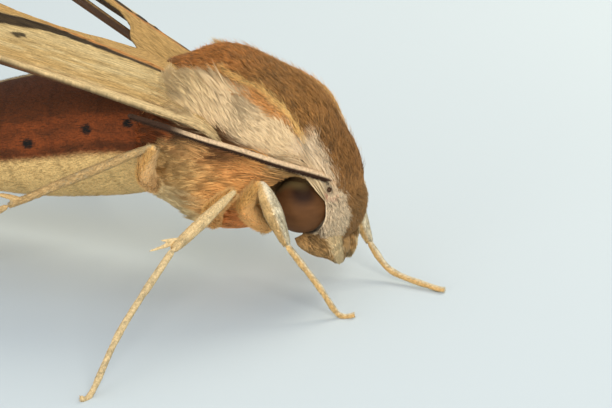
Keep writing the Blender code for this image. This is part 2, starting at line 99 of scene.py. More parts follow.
TONGUE_CENTRE = (0.45, 0.0, 2.6)
TONGUE_COIL = 0.62
TONGUE_RADIUS = 0.26
TONGUE_TURNS = 0.9
TONGUE_TIGHTENING = 0.6
ANTENNA_SHIFT = {"r": (0.0, 0.0, 0.0), "l": (-0.35, 0.0, -0.5)}
ANTENNA_ROOT = (1.9, 1.1, 6.8)
ANTENNA_PATH = (
    (1.6, 2.0, 7.5), (-0.1, 4.2, 8.65), (-1.9, 5.35, 9.45),
    (-3.9, 5.9, 9.95), (-6.0, 6.2, 10.45), (-8.2, 6.5, 10.9),
)
ANTENNA_ROWS = 241
ANTENNA_RINGS = 60
COSTA_ROOT = (-2.3, 4.6, 9.3)
RIDGE_ROOT = (-7.0, 2.5, 12.4)
COSTA_OUT = 18.0
COSTA_RISE = 15.6
RIDGE_SPREAD = 3.0
RIDGE_FOLD = 40.0
RIDGE_BEND = 0.7
WING_SHIFT = {"r": (0.0, 0.0, 0.0), "l": (-0.5, -0.3, -1.0)}
WING_ROLL = {"r": 0.0, "l": 15.0}
# Edges of the wings from root to tip: distance along, and the front and back edges across
FOREWING_FRONT = ((-0.6, 0.4), (33.0, 1.4))
FOREWING_BACK = (
    (-0.6, 0.9), (3.6, 3.6), (5.2, 5.4), (7.4, 6.7), (9.5, 6.1), (10.5, 5.3), (12.0, 4.85),
    (14.5, 5.0), (18.5, 6.6), (24.2, 9.6), (28.4, 7.2), (31.6, 3.8), (33.0, 1.9),
)
HINDWING_FRONT = ((1.6, 1.6), (20.2, 1.4))
HINDWING_BACK = (
    (1.6, 2.1), (4.0, 3.8), (5.4, 4.8), (7.4, 4.8), (9.0, 3.9),
    (11.0, 3.1), (14.6, 3.6), (18.0, 4.2), (19.6, 3.7), (20.2, 1.9),
)
HINDWING_BELOW = 0.9
WING_DIVE = 1.0
FOREWING_VEINS = 9
HINDWING_VEINS = 6
# Place along the body and degrees from the middle of the back
TEGULA_MIDDLE = (8.8, 53.0)
TEGULA_REACH = (1.15, 19.0)
TEGULA_TAPER = 0.3
TEGULA_EDGE = 0.1
TEGULA_CROWN = 0.35
# Hip and trochanter, then knee, ankle, foot and toe
HIPS = {
    "fore": ((-3.2, 1.4, 6.0), (-1.8, 2.0, 3.9)),
    "mid": ((-6.4, 1.3, 6.0), (-5.2, 2.2, 3.8)),
    "hind": ((-9.0, 1.2, 7.4), (-8.9, 2.2, 5.3)),
}
HIND_LEG = ((-7.2, 5.4, 9.0), (-14.9, 8.5, 5.2), (-19.4, 10.6, 2.5), (-23.7, 12.9, 0.0))
LEGS = {
    "fore_r": ((-1.35, 4.0, 7.4), (0.57, 4.5, 4.1), (2.2, 4.0, 1.9), (4.1, 3.2, 0.0)),
    "fore_l": ((-0.7, 4.7, 5.7), (1.75, 3.5, 1.9), (3.3, 3.1, 0.6), (6.9, 2.6, 0.0)),
    "mid_r": ((-1.6, 6.4, 7.5), (-2.2, 12.2, 5.9), (-2.8, 16.6, 2.9), (-3.2, 20.2, 0.0)),
    "mid_l": ((-3.6, 6.4, 7.4), (-6.6, 10.2, 5.0), (-8.0, 12.4, 2.4), (-9.4, 14.6, 0.0)),
    "hind_r": HIND_LEG,
    "hind_l": HIND_LEG,
}
FEMUR_BOW = {"fore": (-0.7, 0.9), "mid": (-0.3, 0.8), "hind": (0.0, 1.2)}
COXA_RADII = (0.8, 0.75, 0.5)
FEMUR_RADII = (0.34, 0.46, 0.38, 0.15)
TIBIA_RADII = {
    "fore": (0.14, 0.46, 0.54, 0.36, 0.2),
    "mid": (0.12, 0.24, 0.33, 0.3, 0.2),
    "hind": (0.14, 0.26, 0.27, 0.23, 0.18),
}
TARSUS_RADII = (0.22, 0.19, 0.16)
TARSUS_REST = 0.2
SPUR_PLACES = {"mid": (0.84,), "hind": (0.9,)}
SPUR_LENGTHS = (2.0, 1.3)
SPUR_RADII = (0.15, 0.13, 0.05)
SPUR_LEANS = {"mid": ((-0.75, 0.0), (-0.7, 0.4)), "hind": ((-0.1, 0.6), (-0.5, 0.75))}

# Depth of the coat over the skin
THORAX_DEPTH = 0.32
ABDOMEN_DEPTH = 0.1
HEAD_DEPTH = 0.22
PALP_DEPTH = 0.15

# The cells of the skin's mesh, the camera's lean forward and up for each step out, and the eye sockets
BODY_VOXEL = 0.11
LEG_VOXEL = 0.075
VIEW_SLOPES = (0.5, 0.38)
RELAX_STEPS = 4
SOCKET_SINK = 0.2
SOCKET_EDGE = 0.28
SOCKET_SLANT = 4

# Lines of the markings: places along the body with degrees from the middle of the back, and along
# the wing with places across it
GOLD_LINE = ((6.8, 7.4, 8.26, 9.0, 9.46, 9.9), (27, 27, 29, 37, 44, 50))
PLATE_LINE = ((6.8, 7.4, 8.05, 9.03, 9.5, 9.9), (47, 45, 42, 46, 49, 52))
SPOT_PLACES = ((5.93, 73), (5.19, 78), (4.26, 86), (3.4, 89), (2.55, 90), (1.75, 91))
SPOT_SIZE = (0.085, 4.4)
STRIPE_LOWER = ((3.0, 5.1, 6.3, 9.3, 12.3, 15.0, 24.0, 33.0), (3.3, 3.43, 3.56, 3.78, 3.86, 3.36, 2.6, 1.4))
STRIPE_UPPER = ((3.0, 4.8, 6.3, 9.5, 12.5, 15.0, 24.0, 33.0), (3.2, 3.44, 3.8, 4.12, 4.45, 4.2, 3.3, 1.6))
WING_DOT = (13.8, 2.98)
OBLIQUE_LINES = ((17.5, 0.5), (20.5, 0.7), (23.0, 0.5), (26.0, 0.6))

# Colours
DORSUM = (0.34, 0.165, 0.048)
REAR = (0.47, 0.19, 0.048)
RUST = (0.64, 0.3, 0.09)
GOLD = (1.3, 0.85, 0.3)
TEGULA = (0.88, 0.67, 0.4)
TEGULA_GREY = (0.7, 0.5, 0.3)
TEGULA_REAR = (0.8, 0.6, 0.32)
COLLAR = (0.26, 0.125, 0.038)
STRIPE = (0.92, 0.72, 0.48)
PIT_RIM = (0.6, 0.28, 0.2)
EYE_BROWN = (0.125, 0.053, 0.019)
EYE_PATCH = (0.022, 0.009, 0.005)
EYE_OLIVE = (0.18, 0.13, 0.055)
# Painted shade of the gap between each eye and the cheek below it
UNDER_EYE_SHADE = (0.035, 0.016, 0.009)
FRONS = (0.33, 0.168, 0.056)
PALP_SIDE = (0.39, 0.225, 0.085)
PALP_CREAM = (0.95, 0.72, 0.4)
PALP_LOW = (0.26, 0.18, 0.085)
PLEURA_GOLD = (0.95, 0.62, 0.25)
PLEURA_ORANGE = (0.92, 0.47, 0.15)
PLEURA_RED = (0.62, 0.25, 0.08)
# Painted shade in the gap under the wing's root and shoulder plate, above the antenna
PLEURA_GAP_SHADE = (0.15, 0.06, 0.02)
PLEURA_CREAM = (0.95, 0.74, 0.4)
ABDOMEN_DARK = (0.085, 0.023, 0.005)
ABDOMEN_ORANGE = (0.2, 0.046, 0.009)
ABDOMEN_CREAM = (0.7, 0.47, 0.19)
SPOT = (0.007, 0.005, 0.004)
WING_GOLD = (0.52, 0.36, 0.15)
WING_CREAM = (0.62, 0.47, 0.23)
WING_TAN = (0.5, 0.31, 0.11)
WING_COSTA = (0.68, 0.5, 0.25)
WING_STRIPE = (0.02, 0.012, 0.008)
WING_RIM = (0.5, 0.19, 0.05)
WING_UNDER = (0.22, 0.1, 0.04)
LEG_CREAM = {"fore": (0.86, 0.76, 0.54), "mid": (0.74, 0.56, 0.3), "hind": (0.58, 0.38, 0.165)}
LEG_FLECK = (0.42, 0.33, 0.19)
LEG_OCHRE = (0.68, 0.4, 0.12)
FEMUR_COLOURS = {"fore": (0.92, 0.56, 0.22), "mid": (0.92, 0.56, 0.22), "hind": (0.9, 0.62, 0.3)}
ANTENNA_PALE = (0.72, 0.52, 0.32)
COMB_DARK = (0.045, 0.02, 0.01)
HORN = (0.07, 0.035, 0.018)

rng = np.random.default_rng(11)


# Numbers
def unit(vectors):
    """The vectors at length 1."""
    return vectors / np.maximum(np.linalg.norm(vectors, axis=-1, keepdims=True), 1e-9)


def fade(low, high, value):
    """A smooth step from 0 at the first value to 1 at the second."""
    t = np.clip((value - low) / (high - low), 0.0, 1.0)
    return t * t * (3 - 2 * t)


def mix(first, second, share):
    """Two colours, or rows of them, mixed by a share for each row."""
    share = np.asarray(share)[..., None]
    return np.asarray(first) * (1 - share) + np.asarray(second) * share


def layered(colour, *layers):
    """A colour with others laid over it in turn, each by its share."""
    for over, share in layers:
        colour = mix(colour, over, share)
    return colour


def bell(value, middle, width):
    """A smooth hump: 1 where the value is at the middle, and low beyond the width."""
    return np.exp(-(((value - middle) / width) ** 2))


def steps(count):
    """Numbers evenly from 0 to 1."""
    return np.linspace(0, 1, count)


def turns(count):
    """Angles evenly round a circle."""
    return np.arange(count) * math.tau / count


def noise(points, seed=0):
    """Smooth random values from 0 to 1 over space, about one unit in size."""
    points = np.asarray(points, float) + seed * 31.7
    cell = np.floor(points).astype(np.int64)
    f = points - cell
    f = f * f * (3 - 2 * f)
    total = np.zeros(len(points))
    for corner in itertools.product((0, 1), repeat=3):
        c = cell + corner
        mixed = (c[:, 0] * 73856093) ^ (c[:, 1] * 19349663) ^ (c[:, 2] * 83492791)
        mixed = (mixed * 1103515245 + 12345) & 0x7FFFFFFF
        mixed ^= mixed >> 13
        mixed = (mixed * 69069 + 1) & 0x7FFFFFFF
        weight = np.prod(np.where(corner, f, 1 - f), axis=1)
        total += weight * ((mixed >> 8) % 65536) / 65535.0
    return total


def place(point, side=1):
    """A named place as a point of the model, mirrored for side -1."""
    return np.array((EYE_X + point[0], MIDDLE_Y + side * point[1], point[2]), float)


def eye_centre(side):
    """The middle of an eye."""
    return place((0.0, EYE_Y, EYE_Z), side)


def off_middle(points):
    """How far points are from the body's middle plane."""
    return np.abs(points[:, 1] - MIDDLE_Y)


def along(rows, at):
    """A smooth curve through the rows, read at fractional row numbers."""
    rows = np.asarray(rows, float)
    last = len(rows) - 1
    low = np.clip(np.floor(at).astype(int), 0, last - 1)
    f = (at - low)[:, None]
    a, b, c, d = (rows[np.clip(low + k, 0, last)] for k in range(-1, 3))
    return 0.5 * (2 * b + (c - a) * f + (2 * a - 5 * b + 4 * c - d) * f**2 + (3 * b - a - 3 * c + d) * f**3)


# Forms: each is a function of two coordinates and a height over the skin
def back_angle(angle):
    """Degrees from the middle of the back, the same on both sides."""
    return np.abs((np.degrees(angle) - 90 + 180) % 360 - 180)


def tegula_share(at, angle):
    """How far out a place lies on the shoulder plate: 0 in its middle, 1 at its edge."""
    a = (at - TEGULA_MIDDLE[0]) / TEGULA_REACH[0]
    b = (back_angle(angle) - TEGULA_MIDDLE[1]) / TEGULA_REACH[1]
    share = np.hypot(a, b) + 1e-6
    for _ in range(4):
        share = np.hypot(a, b / (1 - TEGULA_TAPER * np.clip(a / share, -1, 1)))
    return share


def body_surface(at, angle, height=0.0):
    """The body's skin: angle 0 is the moth's left, a quarter turn its back."""
    step = 0.05
    middle = along(BODY_SECTIONS, at)
    ahead = along(BODY_SECTIONS, at + step) - along(BODY_SECTIONS, at - step)
    zero = np.zeros(len(at))
    forward = unit(np.stack([ahead[:, 0], zero, ahead[:, 1]], 1))
    back = np.stack([-forward[:, 2], zero, forward[:, 0]], 1)
    share = tegula_share(at, angle)
    plate = (TEGULA_EDGE + TEGULA_CROWN * np.clip(1 - share**2, 0, 1)) * fade(1.1, 0.96, share)
    depth = ABDOMEN_DEPTH + (THORAX_DEPTH - ABDOMEN_DEPTH) * fade(5.9, 6.6, at)
    rise = plate - depth + height
    high = np.where(np.sin(angle) > 0, middle[:, 3], middle[:, 4])
    centre = np.stack([EYE_X + middle[:, 0], MIDDLE_Y + zero, middle[:, 1]], 1)
    across = np.stack([zero, np.maximum(middle[:, 2] + rise, 0.05) * np.cos(angle), zero], 1)
    return centre + across + back * (np.maximum(high + rise, 0.05) * np.sin(angle))[:, None]


def head_surface(turn, reach, height=0.0):
    """The head: turn 0 faces forward and a quarter turn up, reach runs from right to left."""
    size = np.array(HEAD_SIZE) - HEAD_DEPTH
    out = np.stack([np.cos(reach) * np.cos(turn), np.sin(reach), np.cos(reach) * np.sin(turn)], 1)
    normal = unit(out / size)
    return place(HEAD_CENTRE) + out * size + normal * np.reshape(height, (-1, 1))


def tube_surface(points, radii, sink=0.0, ends=0.08, aim=(0.0, 0.0, 1.0)):
    """A round form along a smooth line: from 0 to 1 along it, and radians round it from the aim."""
    points = np.asarray(points, float)
    radii = np.asarray(radii, float) - sink

    def surface(share, turn, height=0.0):
        row = share * (len(points) - 1)
        centre = along(points, row)
        forward = unit(along(points, row + 0.02) - along(points, row - 0.02))
        side = unit(np.cross(forward, np.asarray(aim, float)))
        top = np.cross(side, forward)
        radius = np.interp(share, steps(len(radii)), radii)
        for edge in (share, 1 - share):
            radius = radius * np.sqrt(np.clip(1 - np.clip(1 - edge / ends, 0, 1) ** 2, 0.01, 1))
        radius = radius + height
        return centre + (top * np.cos(turn)[:, None] + side * np.sin(turn)[:, None]) * radius[:, None]

    return surface


def wing_surface(key, length, chord, height=0.0):
    """The wing's sheet, from the distance along its front edge and across from there."""
    side = SIDES[key]
    shift = np.array(WING_SHIFT[key])
    costa_root = place(np.array(COSTA_ROOT) + shift, side)
    ridge_root = place(np.array(RIDGE_ROOT) + shift, side)
    out, rise = math.radians(COSTA_OUT), math.radians(COSTA_RISE)
    costa = np.array((-math.cos(out) * math.cos(rise), side * math.sin(out) * math.cos(rise), math.sin(rise)))
    inward = ridge_root - costa_root
    inward = inward - costa * inward.dot(costa)
    hinge, width = costa_root + inward, np.linalg.norm(inward)
    roll = Matrix.Rotation(math.radians(WING_ROLL[key]) * side, 3, Vector(costa))
    inward = unit(np.array(roll) @ inward)
    costa_root = hinge - inward * width
    up = np.cross(costa, inward) * side
    spread = math.radians(RIDGE_SPREAD)
    ridge = costa * math.cos(spread) + inward * math.sin(spread)
    across = inward * math.cos(spread) - costa * math.sin(spread)
    flat = costa_root + np.outer(length, costa) + np.outer(chord, inward)
    beyond = (flat - ridge_root) @ across
    foot = ridge_root + np.outer((flat - ridge_root) @ ridge, ridge)
    fold = math.radians(RIDGE_FOLD + WING_ROLL[key])
    radius = 2 * RIDGE_BEND / fold
    turned = np.clip((beyond + RIDGE_BEND) / radius, 0, fold)
    extra = np.maximum(beyond - RIDGE_BEND, 0)
    inner = -RIDGE_BEND + radius * np.sin(turned) + extra * np.cos(turned)
    sunk = radius * (1 - np.cos(turned)) + extra * np.sin(turned)
    folded = foot + np.outer(inner, across) - np.outer(sunk, up)
    sheet = np.where((beyond < -RIDGE_BEND)[:, None], flat, folded)
    normal = np.outer(np.cos(turned), up) + np.outer(np.sin(turned), across)
    return sheet + normal * np.reshape(height, (-1, 1))


# Meshes
def mesh_object(name, parts, material):
    """An object from points in millimetres, triangles, and a colour for each point or none."""
    points, triangles, colours = parts
    mesh = bpy.data.meshes.new(name)
    mesh.vertices.add(len(points))
    mesh.vertices.foreach_set("co", (np.asarray(points, float) * MM).ravel())
    mesh.loops.add(3 * len(triangles))
    mesh.loops.foreach_set("vertex_index", np.asarray(triangles, np.int32).ravel())
    mesh.polygons.add(len(triangles))
    mesh.polygons.foreach_set("loop_start", np.arange(0, 3 * len(triangles), 3, dtype=np.int32))
    mesh.update(calc_edges=True)
    mesh.validate()
    mesh.shade_smooth()
    if colours is not None:
        layer = mesh.color_attributes.new(name="colour", type="FLOAT_COLOR", domain="POINT")
        rows = np.column_stack([colours, np.ones(len(colours))])
        layer.data.foreach_set("color", rows.astype(np.float32).ravel())
    mesh.materials.append(material)
    made = bpy.data.objects.new(name, mesh)
    bpy.context.scene.collection.objects.link(made)
    return made


def grid_faces(rows, columns, closed=True):
    """The triangles of a grid of points, closed round its columns or open."""
    index = np.arange(rows * columns).reshape(rows, columns)
    right = np.roll(index, -1, axis=1) if closed else index[:, 1:]
    left = index if closed else index[:, :-1]
    quads = np.stack([left[:-1], right[:-1], right[1:], left[1:]], -1).reshape(-1, 4)
    return np.concatenate([quads[:, [0, 1, 2]], quads[:, [0, 2, 3]]])


def grid(surface, first, second):
    """Points and triangles of a form over two lists of coordinates, closed round the second."""
    u, v = (values.ravel() for values in np.meshgrid(first, second, indexing="ij"))
    return surface(u, v), grid_faces(len(first), len(second)), u, v


def fan(row, middle):
    """Triangles from a ring of points to the point in its middle."""
    return np.stack([np.roll(row, -1), row, np.full(len(row), middle)], 1)


def form(surface, rows, columns, paint=None, span=(0, 1)):
    """A closed form: a grid with a fan over each end, and its colours where it is painted."""
    points, triangles, u, v = grid(surface, np.linspace(*span, rows), turns(columns))
    count = len(points)
    first, last = np.arange(columns), np.arange(count - columns, count)
    triangles = np.concatenate([triangles, fan(first, count)[:, ::-1], fan(last, count + 1)])
    colours = None
    if paint:
        colours = paint(u, v, points)
        colours = np.vstack([colours, colours[first].mean(axis=0), colours[last].mean(axis=0)])
    return np.vstack([points, points[first].mean(axis=0), points[last].mean(axis=0)]), triangles, colours


def nearest(points, samples):
    """The number of the nearest sample for each point."""
    tree = KDTree(len(samples))
    for number, sample in enumerate(samples):
        tree.insert(sample, number)
    tree.balance()
    return np.array([tree.find(point)[1] for point in points])


# Coat: bent tufts or plain scales, each with a small patch of the map at its root's place
TUFT_SIDES = ((0, 1, 2), (0, 4, 1), (0, 3, 4), (1, 5, 2), (1, 4, 5), (2, 3, 0), (2, 5, 3))
TUFT_FACES = np.array((*TUFT_SIDES, (3, 6, 4), (4, 6, 5), (5, 6, 3)))
SCALE_FACES = np.array(((0, 1, 2), (0, 3, 1), (1, 3, 2), (2, 3, 0)))
PATCH = 0.003
TUFT_PATCH = np.array(((0, 0), (1, 0), (0.5, 0.1), (0.1, 0.5), (0.9, 0.5), (0.5, 0.55), (0.5, 1))) * PATCH
SCALE_PATCH = np.array(((0, 0), (1, 0), (0.5, 0.1), (0.5, 1))) * PATCH
PIECE_TRIANGLES = 190000
LENGTH_RANGE = (0.65, 1.2)
RISE_RANGE = (0.6, 1.2)
SHADE_RANGE = (0.35, 1.6)
BRIGHTEST = 0.92
FOLLOWING = 0.75
ROOT_SINK = 0.06
CREST = 0.35
TAPER = 0.8
CLUMP_HOLD = 0.3
MIDDLE_CLUMP = 0.4


def over_eye(points):
    """Which points lie over an eye, or hide it from the side that the photograph shows."""
    hidden = np.zeros(len(points), bool)
    for side in SIDES.values():
        away = points - eye_centre(side)
        ring = np.hypot(away[:, 0], away[:, 2] * 0.94)
        hidden |= (ring < EYE_RADIUS + EYE_CLEAR) & (away[:, 1] * side > -0.7)
        out = np.maximum(away[:, 1] * side, 0)
        seen = np.hypot(away[:, 0] - VIEW_SLOPES[0] * out, away[:, 2] - VIEW_SLOPES[1] * out)
        hidden |= (seen < EYE_RADIUS + EYE_CLEAR) & (out > 0.1)
    return hidden


def over_pit(points):
    """Which points lie in the wells that show the two small domes of the head."""
    hidden = np.zeros(len(points), bool)
    for side in SIDES.values():
        away = points - place(PIT, side)
        axis = unit(place(PIT, side) - place(HEAD_CENTRE))
        up = away @ axis
        hidden |= (np.linalg.norm(away - np.outer(up, axis), axis=1) < PIT_WELL) & (up > -0.4)
    return hidden


def lying(ahead, up=0.0):
    """A lie of the coat: a share along the form, and a share up."""

    def comb(u, v, points, along_u):
        return along_u * ahead + np.array((0.0, 0.0, up))

    return comb


def slopes(surface, u, v, step=0.002):
    """How far a form moves for each unit of its two coordinates."""
    slope_u = (surface(u + step, v) - surface(u - step, v)) / (2 * step)
    slope_v = (surface(u, v + step) - surface(u, v - step)) / (2 * step)
    return slope_u, slope_v


def travel(lie, slope_u, slope_v):
    """How much the two coordinates change over a millimetre along the lie."""
    along_u, along_v = unit(slope_u), unit(slope_v)
    skew = np.sum(along_u * along_v, axis=1)
    on_u, on_v = np.sum(lie * along_u, axis=1), np.sum(lie * along_v, axis=1)
    du = (on_u - skew * on_v) / (1 - skew**2) / np.linalg.norm(slope_u, axis=1)
    dv = (on_v - skew * on_u) / (1 - skew**2) / np.linalg.norm(slope_v, axis=1)
    return du, dv


def coat(
    name, surface, spans, count, paint, comb=lying(-1), length=1.0, width=0.07, rise=0.3, wave=0.25,
    stray=0.12, clump=0.0, clump_size=24, tone=0.12, painted_root_shade=0.5, painted_tip_light=1.1, plain=False, keep=None,
    clear_eyes=True, slot="coat", finish=None,
):
    """Scatters tufts over a form: each is a thin closed spike that bends along the lie of the coat.

    Length and rise are numbers or functions of the place. The lie turns in waves and strays at random.
    Clumps draw the tips together, and keep gives the share of tufts that a place holds. Each tuft is painted
    darker at its root and lighter at its tip, as painted shade deep in the coat and painted light on the tips.
    """
    tries = 4 * count
    u = rng.uniform(*spans[0], tries)
    v = rng.uniform(*spans[1], tries)
    slope_u, slope_v = slopes(surface, u, v)
    area = np.linalg.norm(np.cross(slope_u, slope_v), axis=1)
    wanted = area if keep is None else area * keep(u, v, surface(u, v))
    count = min(count, int(np.count_nonzero(wanted)))
    chosen = rng.choice(tries, count, replace=False, p=wanted / wanted.sum())
    u, v, slope_u, slope_v = u[chosen], v[chosen], slope_u[chosen], slope_v[chosen]
    root = surface(u, v)
    normal = unit(surface(u, v, 0.1) - root)
    lie = comb(u, v, root, unit(slope_u))
    lie = unit(lie - normal * np.sum(lie * normal, axis=1, keepdims=True))
    across = np.cross(lie, normal)
    turn = (noise(root * 0.9, 3) - 0.5) * 2 * wave + rng.normal(0, stray, count)
    lie = lie * np.cos(turn)[:, None] + across * np.sin(turn)[:, None]
    across = np.cross(lie, normal)
    lengths = (length(u, v, root) if callable(length) else length) * rng.uniform(*LENGTH_RANGE, count)
    heights = (rise(u, v, root) if callable(rise) else rise) * rng.uniform(*RISE_RANGE, count)
    du, dv = travel(lie, slope_u, slope_v)
    line = []
    for share, lift in ((0.5, 0.75), (1.0, 1.0)):
        ahead = np.clip(u + du * lengths * share, *spans[0])
        followed = surface(ahead, v + dv * lengths * share, heights * lift)
        straight = root + lie * (lengths * share)[:, None] + normal * (heights * lift)[:, None]
        line.append(FOLLOWING * followed + (1 - FOLLOWING) * straight)
    middle, tip = line
    shade = np.ones(count)
    if clump:
        centres = rng.choice(count, max(count // clump_size, 1), replace=False)
        mates = centres[nearest(root, root[centres])]
        hold = (root - root[mates]) * CLUMP_HOLD
        tip += (tip[mates] + hold - tip) * clump
        middle += (middle[mates] + hold * 2 - middle) * clump * MIDDLE_CLUMP
        shade += rng.normal(0, tone * 0.8, count)[mates]
    shade = np.clip(shade + rng.normal(0, tone, count), *SHADE_RANGE)
    colours = paint(u, v, root) * shade[:, None]
    base = root - normal * ROOT_SINK
    half = across * (width / 2)
    crest = normal * (width * CREST)
    rings = [base - half, base + half, base + crest]
    # Painted shade at the roots and painted light towards the tips
    if plain:
        tones = (painted_root_shade,) * 3 + (painted_tip_light,)
        faces, patch = SCALE_FACES, SCALE_PATCH
    else:
        rings += [middle - half * TAPER, middle + half * TAPER, middle + crest * TAPER]
        tones = (painted_root_shade,) * 3 + ((painted_root_shade + painted_tip_light) / 2 + 0.1,) * 3 + (painted_tip_light,)
        faces, patch = TUFT_FACES, TUFT_PATCH
    kept = np.arange(count)
    if clear_eyes:
        hidden = over_eye(root) | over_eye(tip)
        for spots in (root, 0.5 * (root + middle), middle, 0.5 * (middle + tip), tip):
            hidden |= over_pit(spots)
        kept = np.flatnonzero(~hidden)
    points = np.stack([*rings, tip], 1)[kept]
    # The painted shade and light along each tuft, multiplied into its colours
    colours = colours[kept, None, :] * np.array(tones)[None, :, None]
    colours = colours * np.minimum(1, BRIGHTEST / colours.max(axis=2, keepdims=True))
    spots = [(values[kept] - low) / (high - low) for values, (low, high) in zip((u, v), spans)]
    places = np.stack(spots, 1)[:, None, :] * (1 - PATCH) + patch[None]
    pieces = math.ceil(len(kept) * len(faces) / PIECE_TRIANGLES)
    for number, part in enumerate(np.array_split(np.arange(len(kept)), pieces)):
        triangles = (faces[None] + np.arange(len(part))[:, None, None] * points.shape[1]).reshape(-1, 3)
        label = name if pieces == 1 else f"{name}_{number + 1}"
        parts = points[part].reshape(-1, 3), triangles, colours[part].reshape(-1, 3)
        piece = mesh_object(label, parts, finish or hair_material)
        layer = piece.data.uv_layers.new(name="OFBake")
        corners = places[part].reshape(-1, 2)[triangles.ravel()]
        layer.data.foreach_set("uv", corners.astype(np.float32).ravel())
        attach(piece, "root")


# Materials
def new_material(name, rough, shine):
    """A Principled material with its node tree and shader."""
    made = bpy.data.materials.new(name)
    made.use_nodes = True
    shader = made.node_tree.nodes["Principled BSDF"]
    shader.inputs["Roughness"].default_value = rough
    shader.inputs["Specular IOR Level"].default_value = shine
    return made, made.node_tree, shader


def add(tree, kind, inputs=(), **settings):
    """A shader node with some settings, and constants or links for its inputs."""
    node = tree.nodes.new("ShaderNode" + kind)
    for key, value in settings.items():
        setattr(node, key, value)
    for key, value in dict(inputs).items():
        if isinstance(value, bpy.types.NodeSocket):
            tree.links.new(value, node.inputs[key])
        else:
            node.inputs[key].default_value = value
    return node


def grain(tree, spot, stretch, scale, detail):
    """Noise over a place, stretched."""
    mapped = add(tree, "Mapping", {"Vector": spot, "Scale": stretch}).outputs["Vector"]
    return add(tree, "TexNoise", {"Vector": mapped, "Scale": scale, "Detail": detail}).outputs["Fac"]


def toned(tree, value, low, high, dark, light):
    """A value from low to high, as a tone from dark to light."""
    ends = {"Value": value, "From Min": low, "From Max": high, "To Min": dark, "To Max": light}
    return add(tree, "MapRange", ends).outputs["Result"]


def painted(tree):
    """The colour written on the points of the mesh."""
    return add(tree, "Attribute", attribute_name="colour").outputs["Color"]


def finish_surface(tree, shader, tone, height, strength, distance):
    """The painted colour times a tone, with bumps of some height."""
    colour = add(tree, "VectorMath", {0: painted(tree), 1: tone}, operation="MULTIPLY")
    tree.links.new(colour.outputs["Vector"], shader.inputs["Base Color"])
    bump = add(tree, "Bump", {"Height": height, "Strength": strength, "Distance": distance})
    tree.links.new(bump.outputs["Normal"], shader.inputs["Normal"])


def make_hair(name, sheen):
    """Painted hairs with a faint golden sheen."""
    made, tree, shader = new_material(name, 0.55, 0.2)
    tree.links.new(painted(tree), shader.inputs["Base Color"])
    shader.inputs["Sheen Weight"].default_value = sheen
    shader.inputs["Sheen Roughness"].default_value = 0.35
    shader.inputs["Sheen Tint"].default_value = (1.0, 0.82, 0.5, 1.0)
    return made


def make_skin():
    """Fine flecks, like the roots of a dense coat."""
    made, tree, shader = new_material("skin", 0.7, 0.2)
    spot = add(tree, "TexCoord").outputs["Object"]
    flecks = grain(tree, spot, (1.0, 1.0, 1.0), 9000.0, 3.0)
    finish_surface(tree, shader, toned(tree, flecks, 0.3, 0.7, 0.7, 1.25), flecks, 0.5, 0.00004)
    return made


def make_wing():
    """Fine lengthwise streaks and flecks of scales over the painted bands."""
    made, tree, shader = new_material("wing scales", 0.7, 0.15)
    spot = add(tree, "Attribute", attribute_name="spot").outputs["Vector"]
    streaks = grain(tree, spot, (1.2, 14.0, 1.0), 1.0, 4.0)
    flecks = grain(tree, spot, (6.0, 22.0, 1.0), 1.0, 2.0)
    tones = {0: toned(tree, streaks, 0.32, 0.68, 0.62, 1.28), 1: toned(tree, flecks, 0.3, 0.7, 0.8, 1.15)}
    tone = add(tree, "Math", tones, operation="MULTIPLY").outputs["Value"]
    height = add(tree, "Math", {0: streaks, 1: flecks}, operation="ADD").outputs["Value"]
    finish_surface(tree, shader, tone, height, 0.7, 0.00006)
    return made


def make_eye():
    """Faint streaks and fine facets."""
    made, tree, shader = new_material("compound eye", 0.6, 0.12)
    spot = add(tree, "TexCoord").outputs["Object"]
    tone = toned(tree, grain(tree, spot, (0.3, 0.3, 1.0), 2500.0, 3.0), 0.3, 0.7, 0.85, 1.15)
    facets = add(tree, "TexVoronoi", {"Vector": spot, "Scale": 26000.0}).outputs["Distance"]
    finish_surface(tree, shader, tone, facets, 0.25, 0.00001)
    return made


def make_plain(name, colour, rough):
    """One colour all over."""
    made, _, shader = new_material(name, rough, 0.35)
    shader.inputs["Base Color"].default_value = (*colour, 1.0)
    return made


hair_material = make_hair("hair", 0.05)
velvet_material = make_hair("velvet", 0.12)
skin_material = make_skin()
wing_material = make_wing()
eye_material = make_eye()
horn_material = make_plain("horn", HORN, 0.3)


# Markings
def under_eye_shade(points):
    """How much a place lies in the painted shade of the gap round the lower half of an eye."""
    ring = np.hypot(points[:, 0] - EYE_X, points[:, 2] - EYE_Z)
    return fade(EYE_RADIUS + 0.3, EYE_RADIUS + 0.12, ring) * fade(EYE_Z - 0.7, EYE_Z - 1.3, points[:, 2])


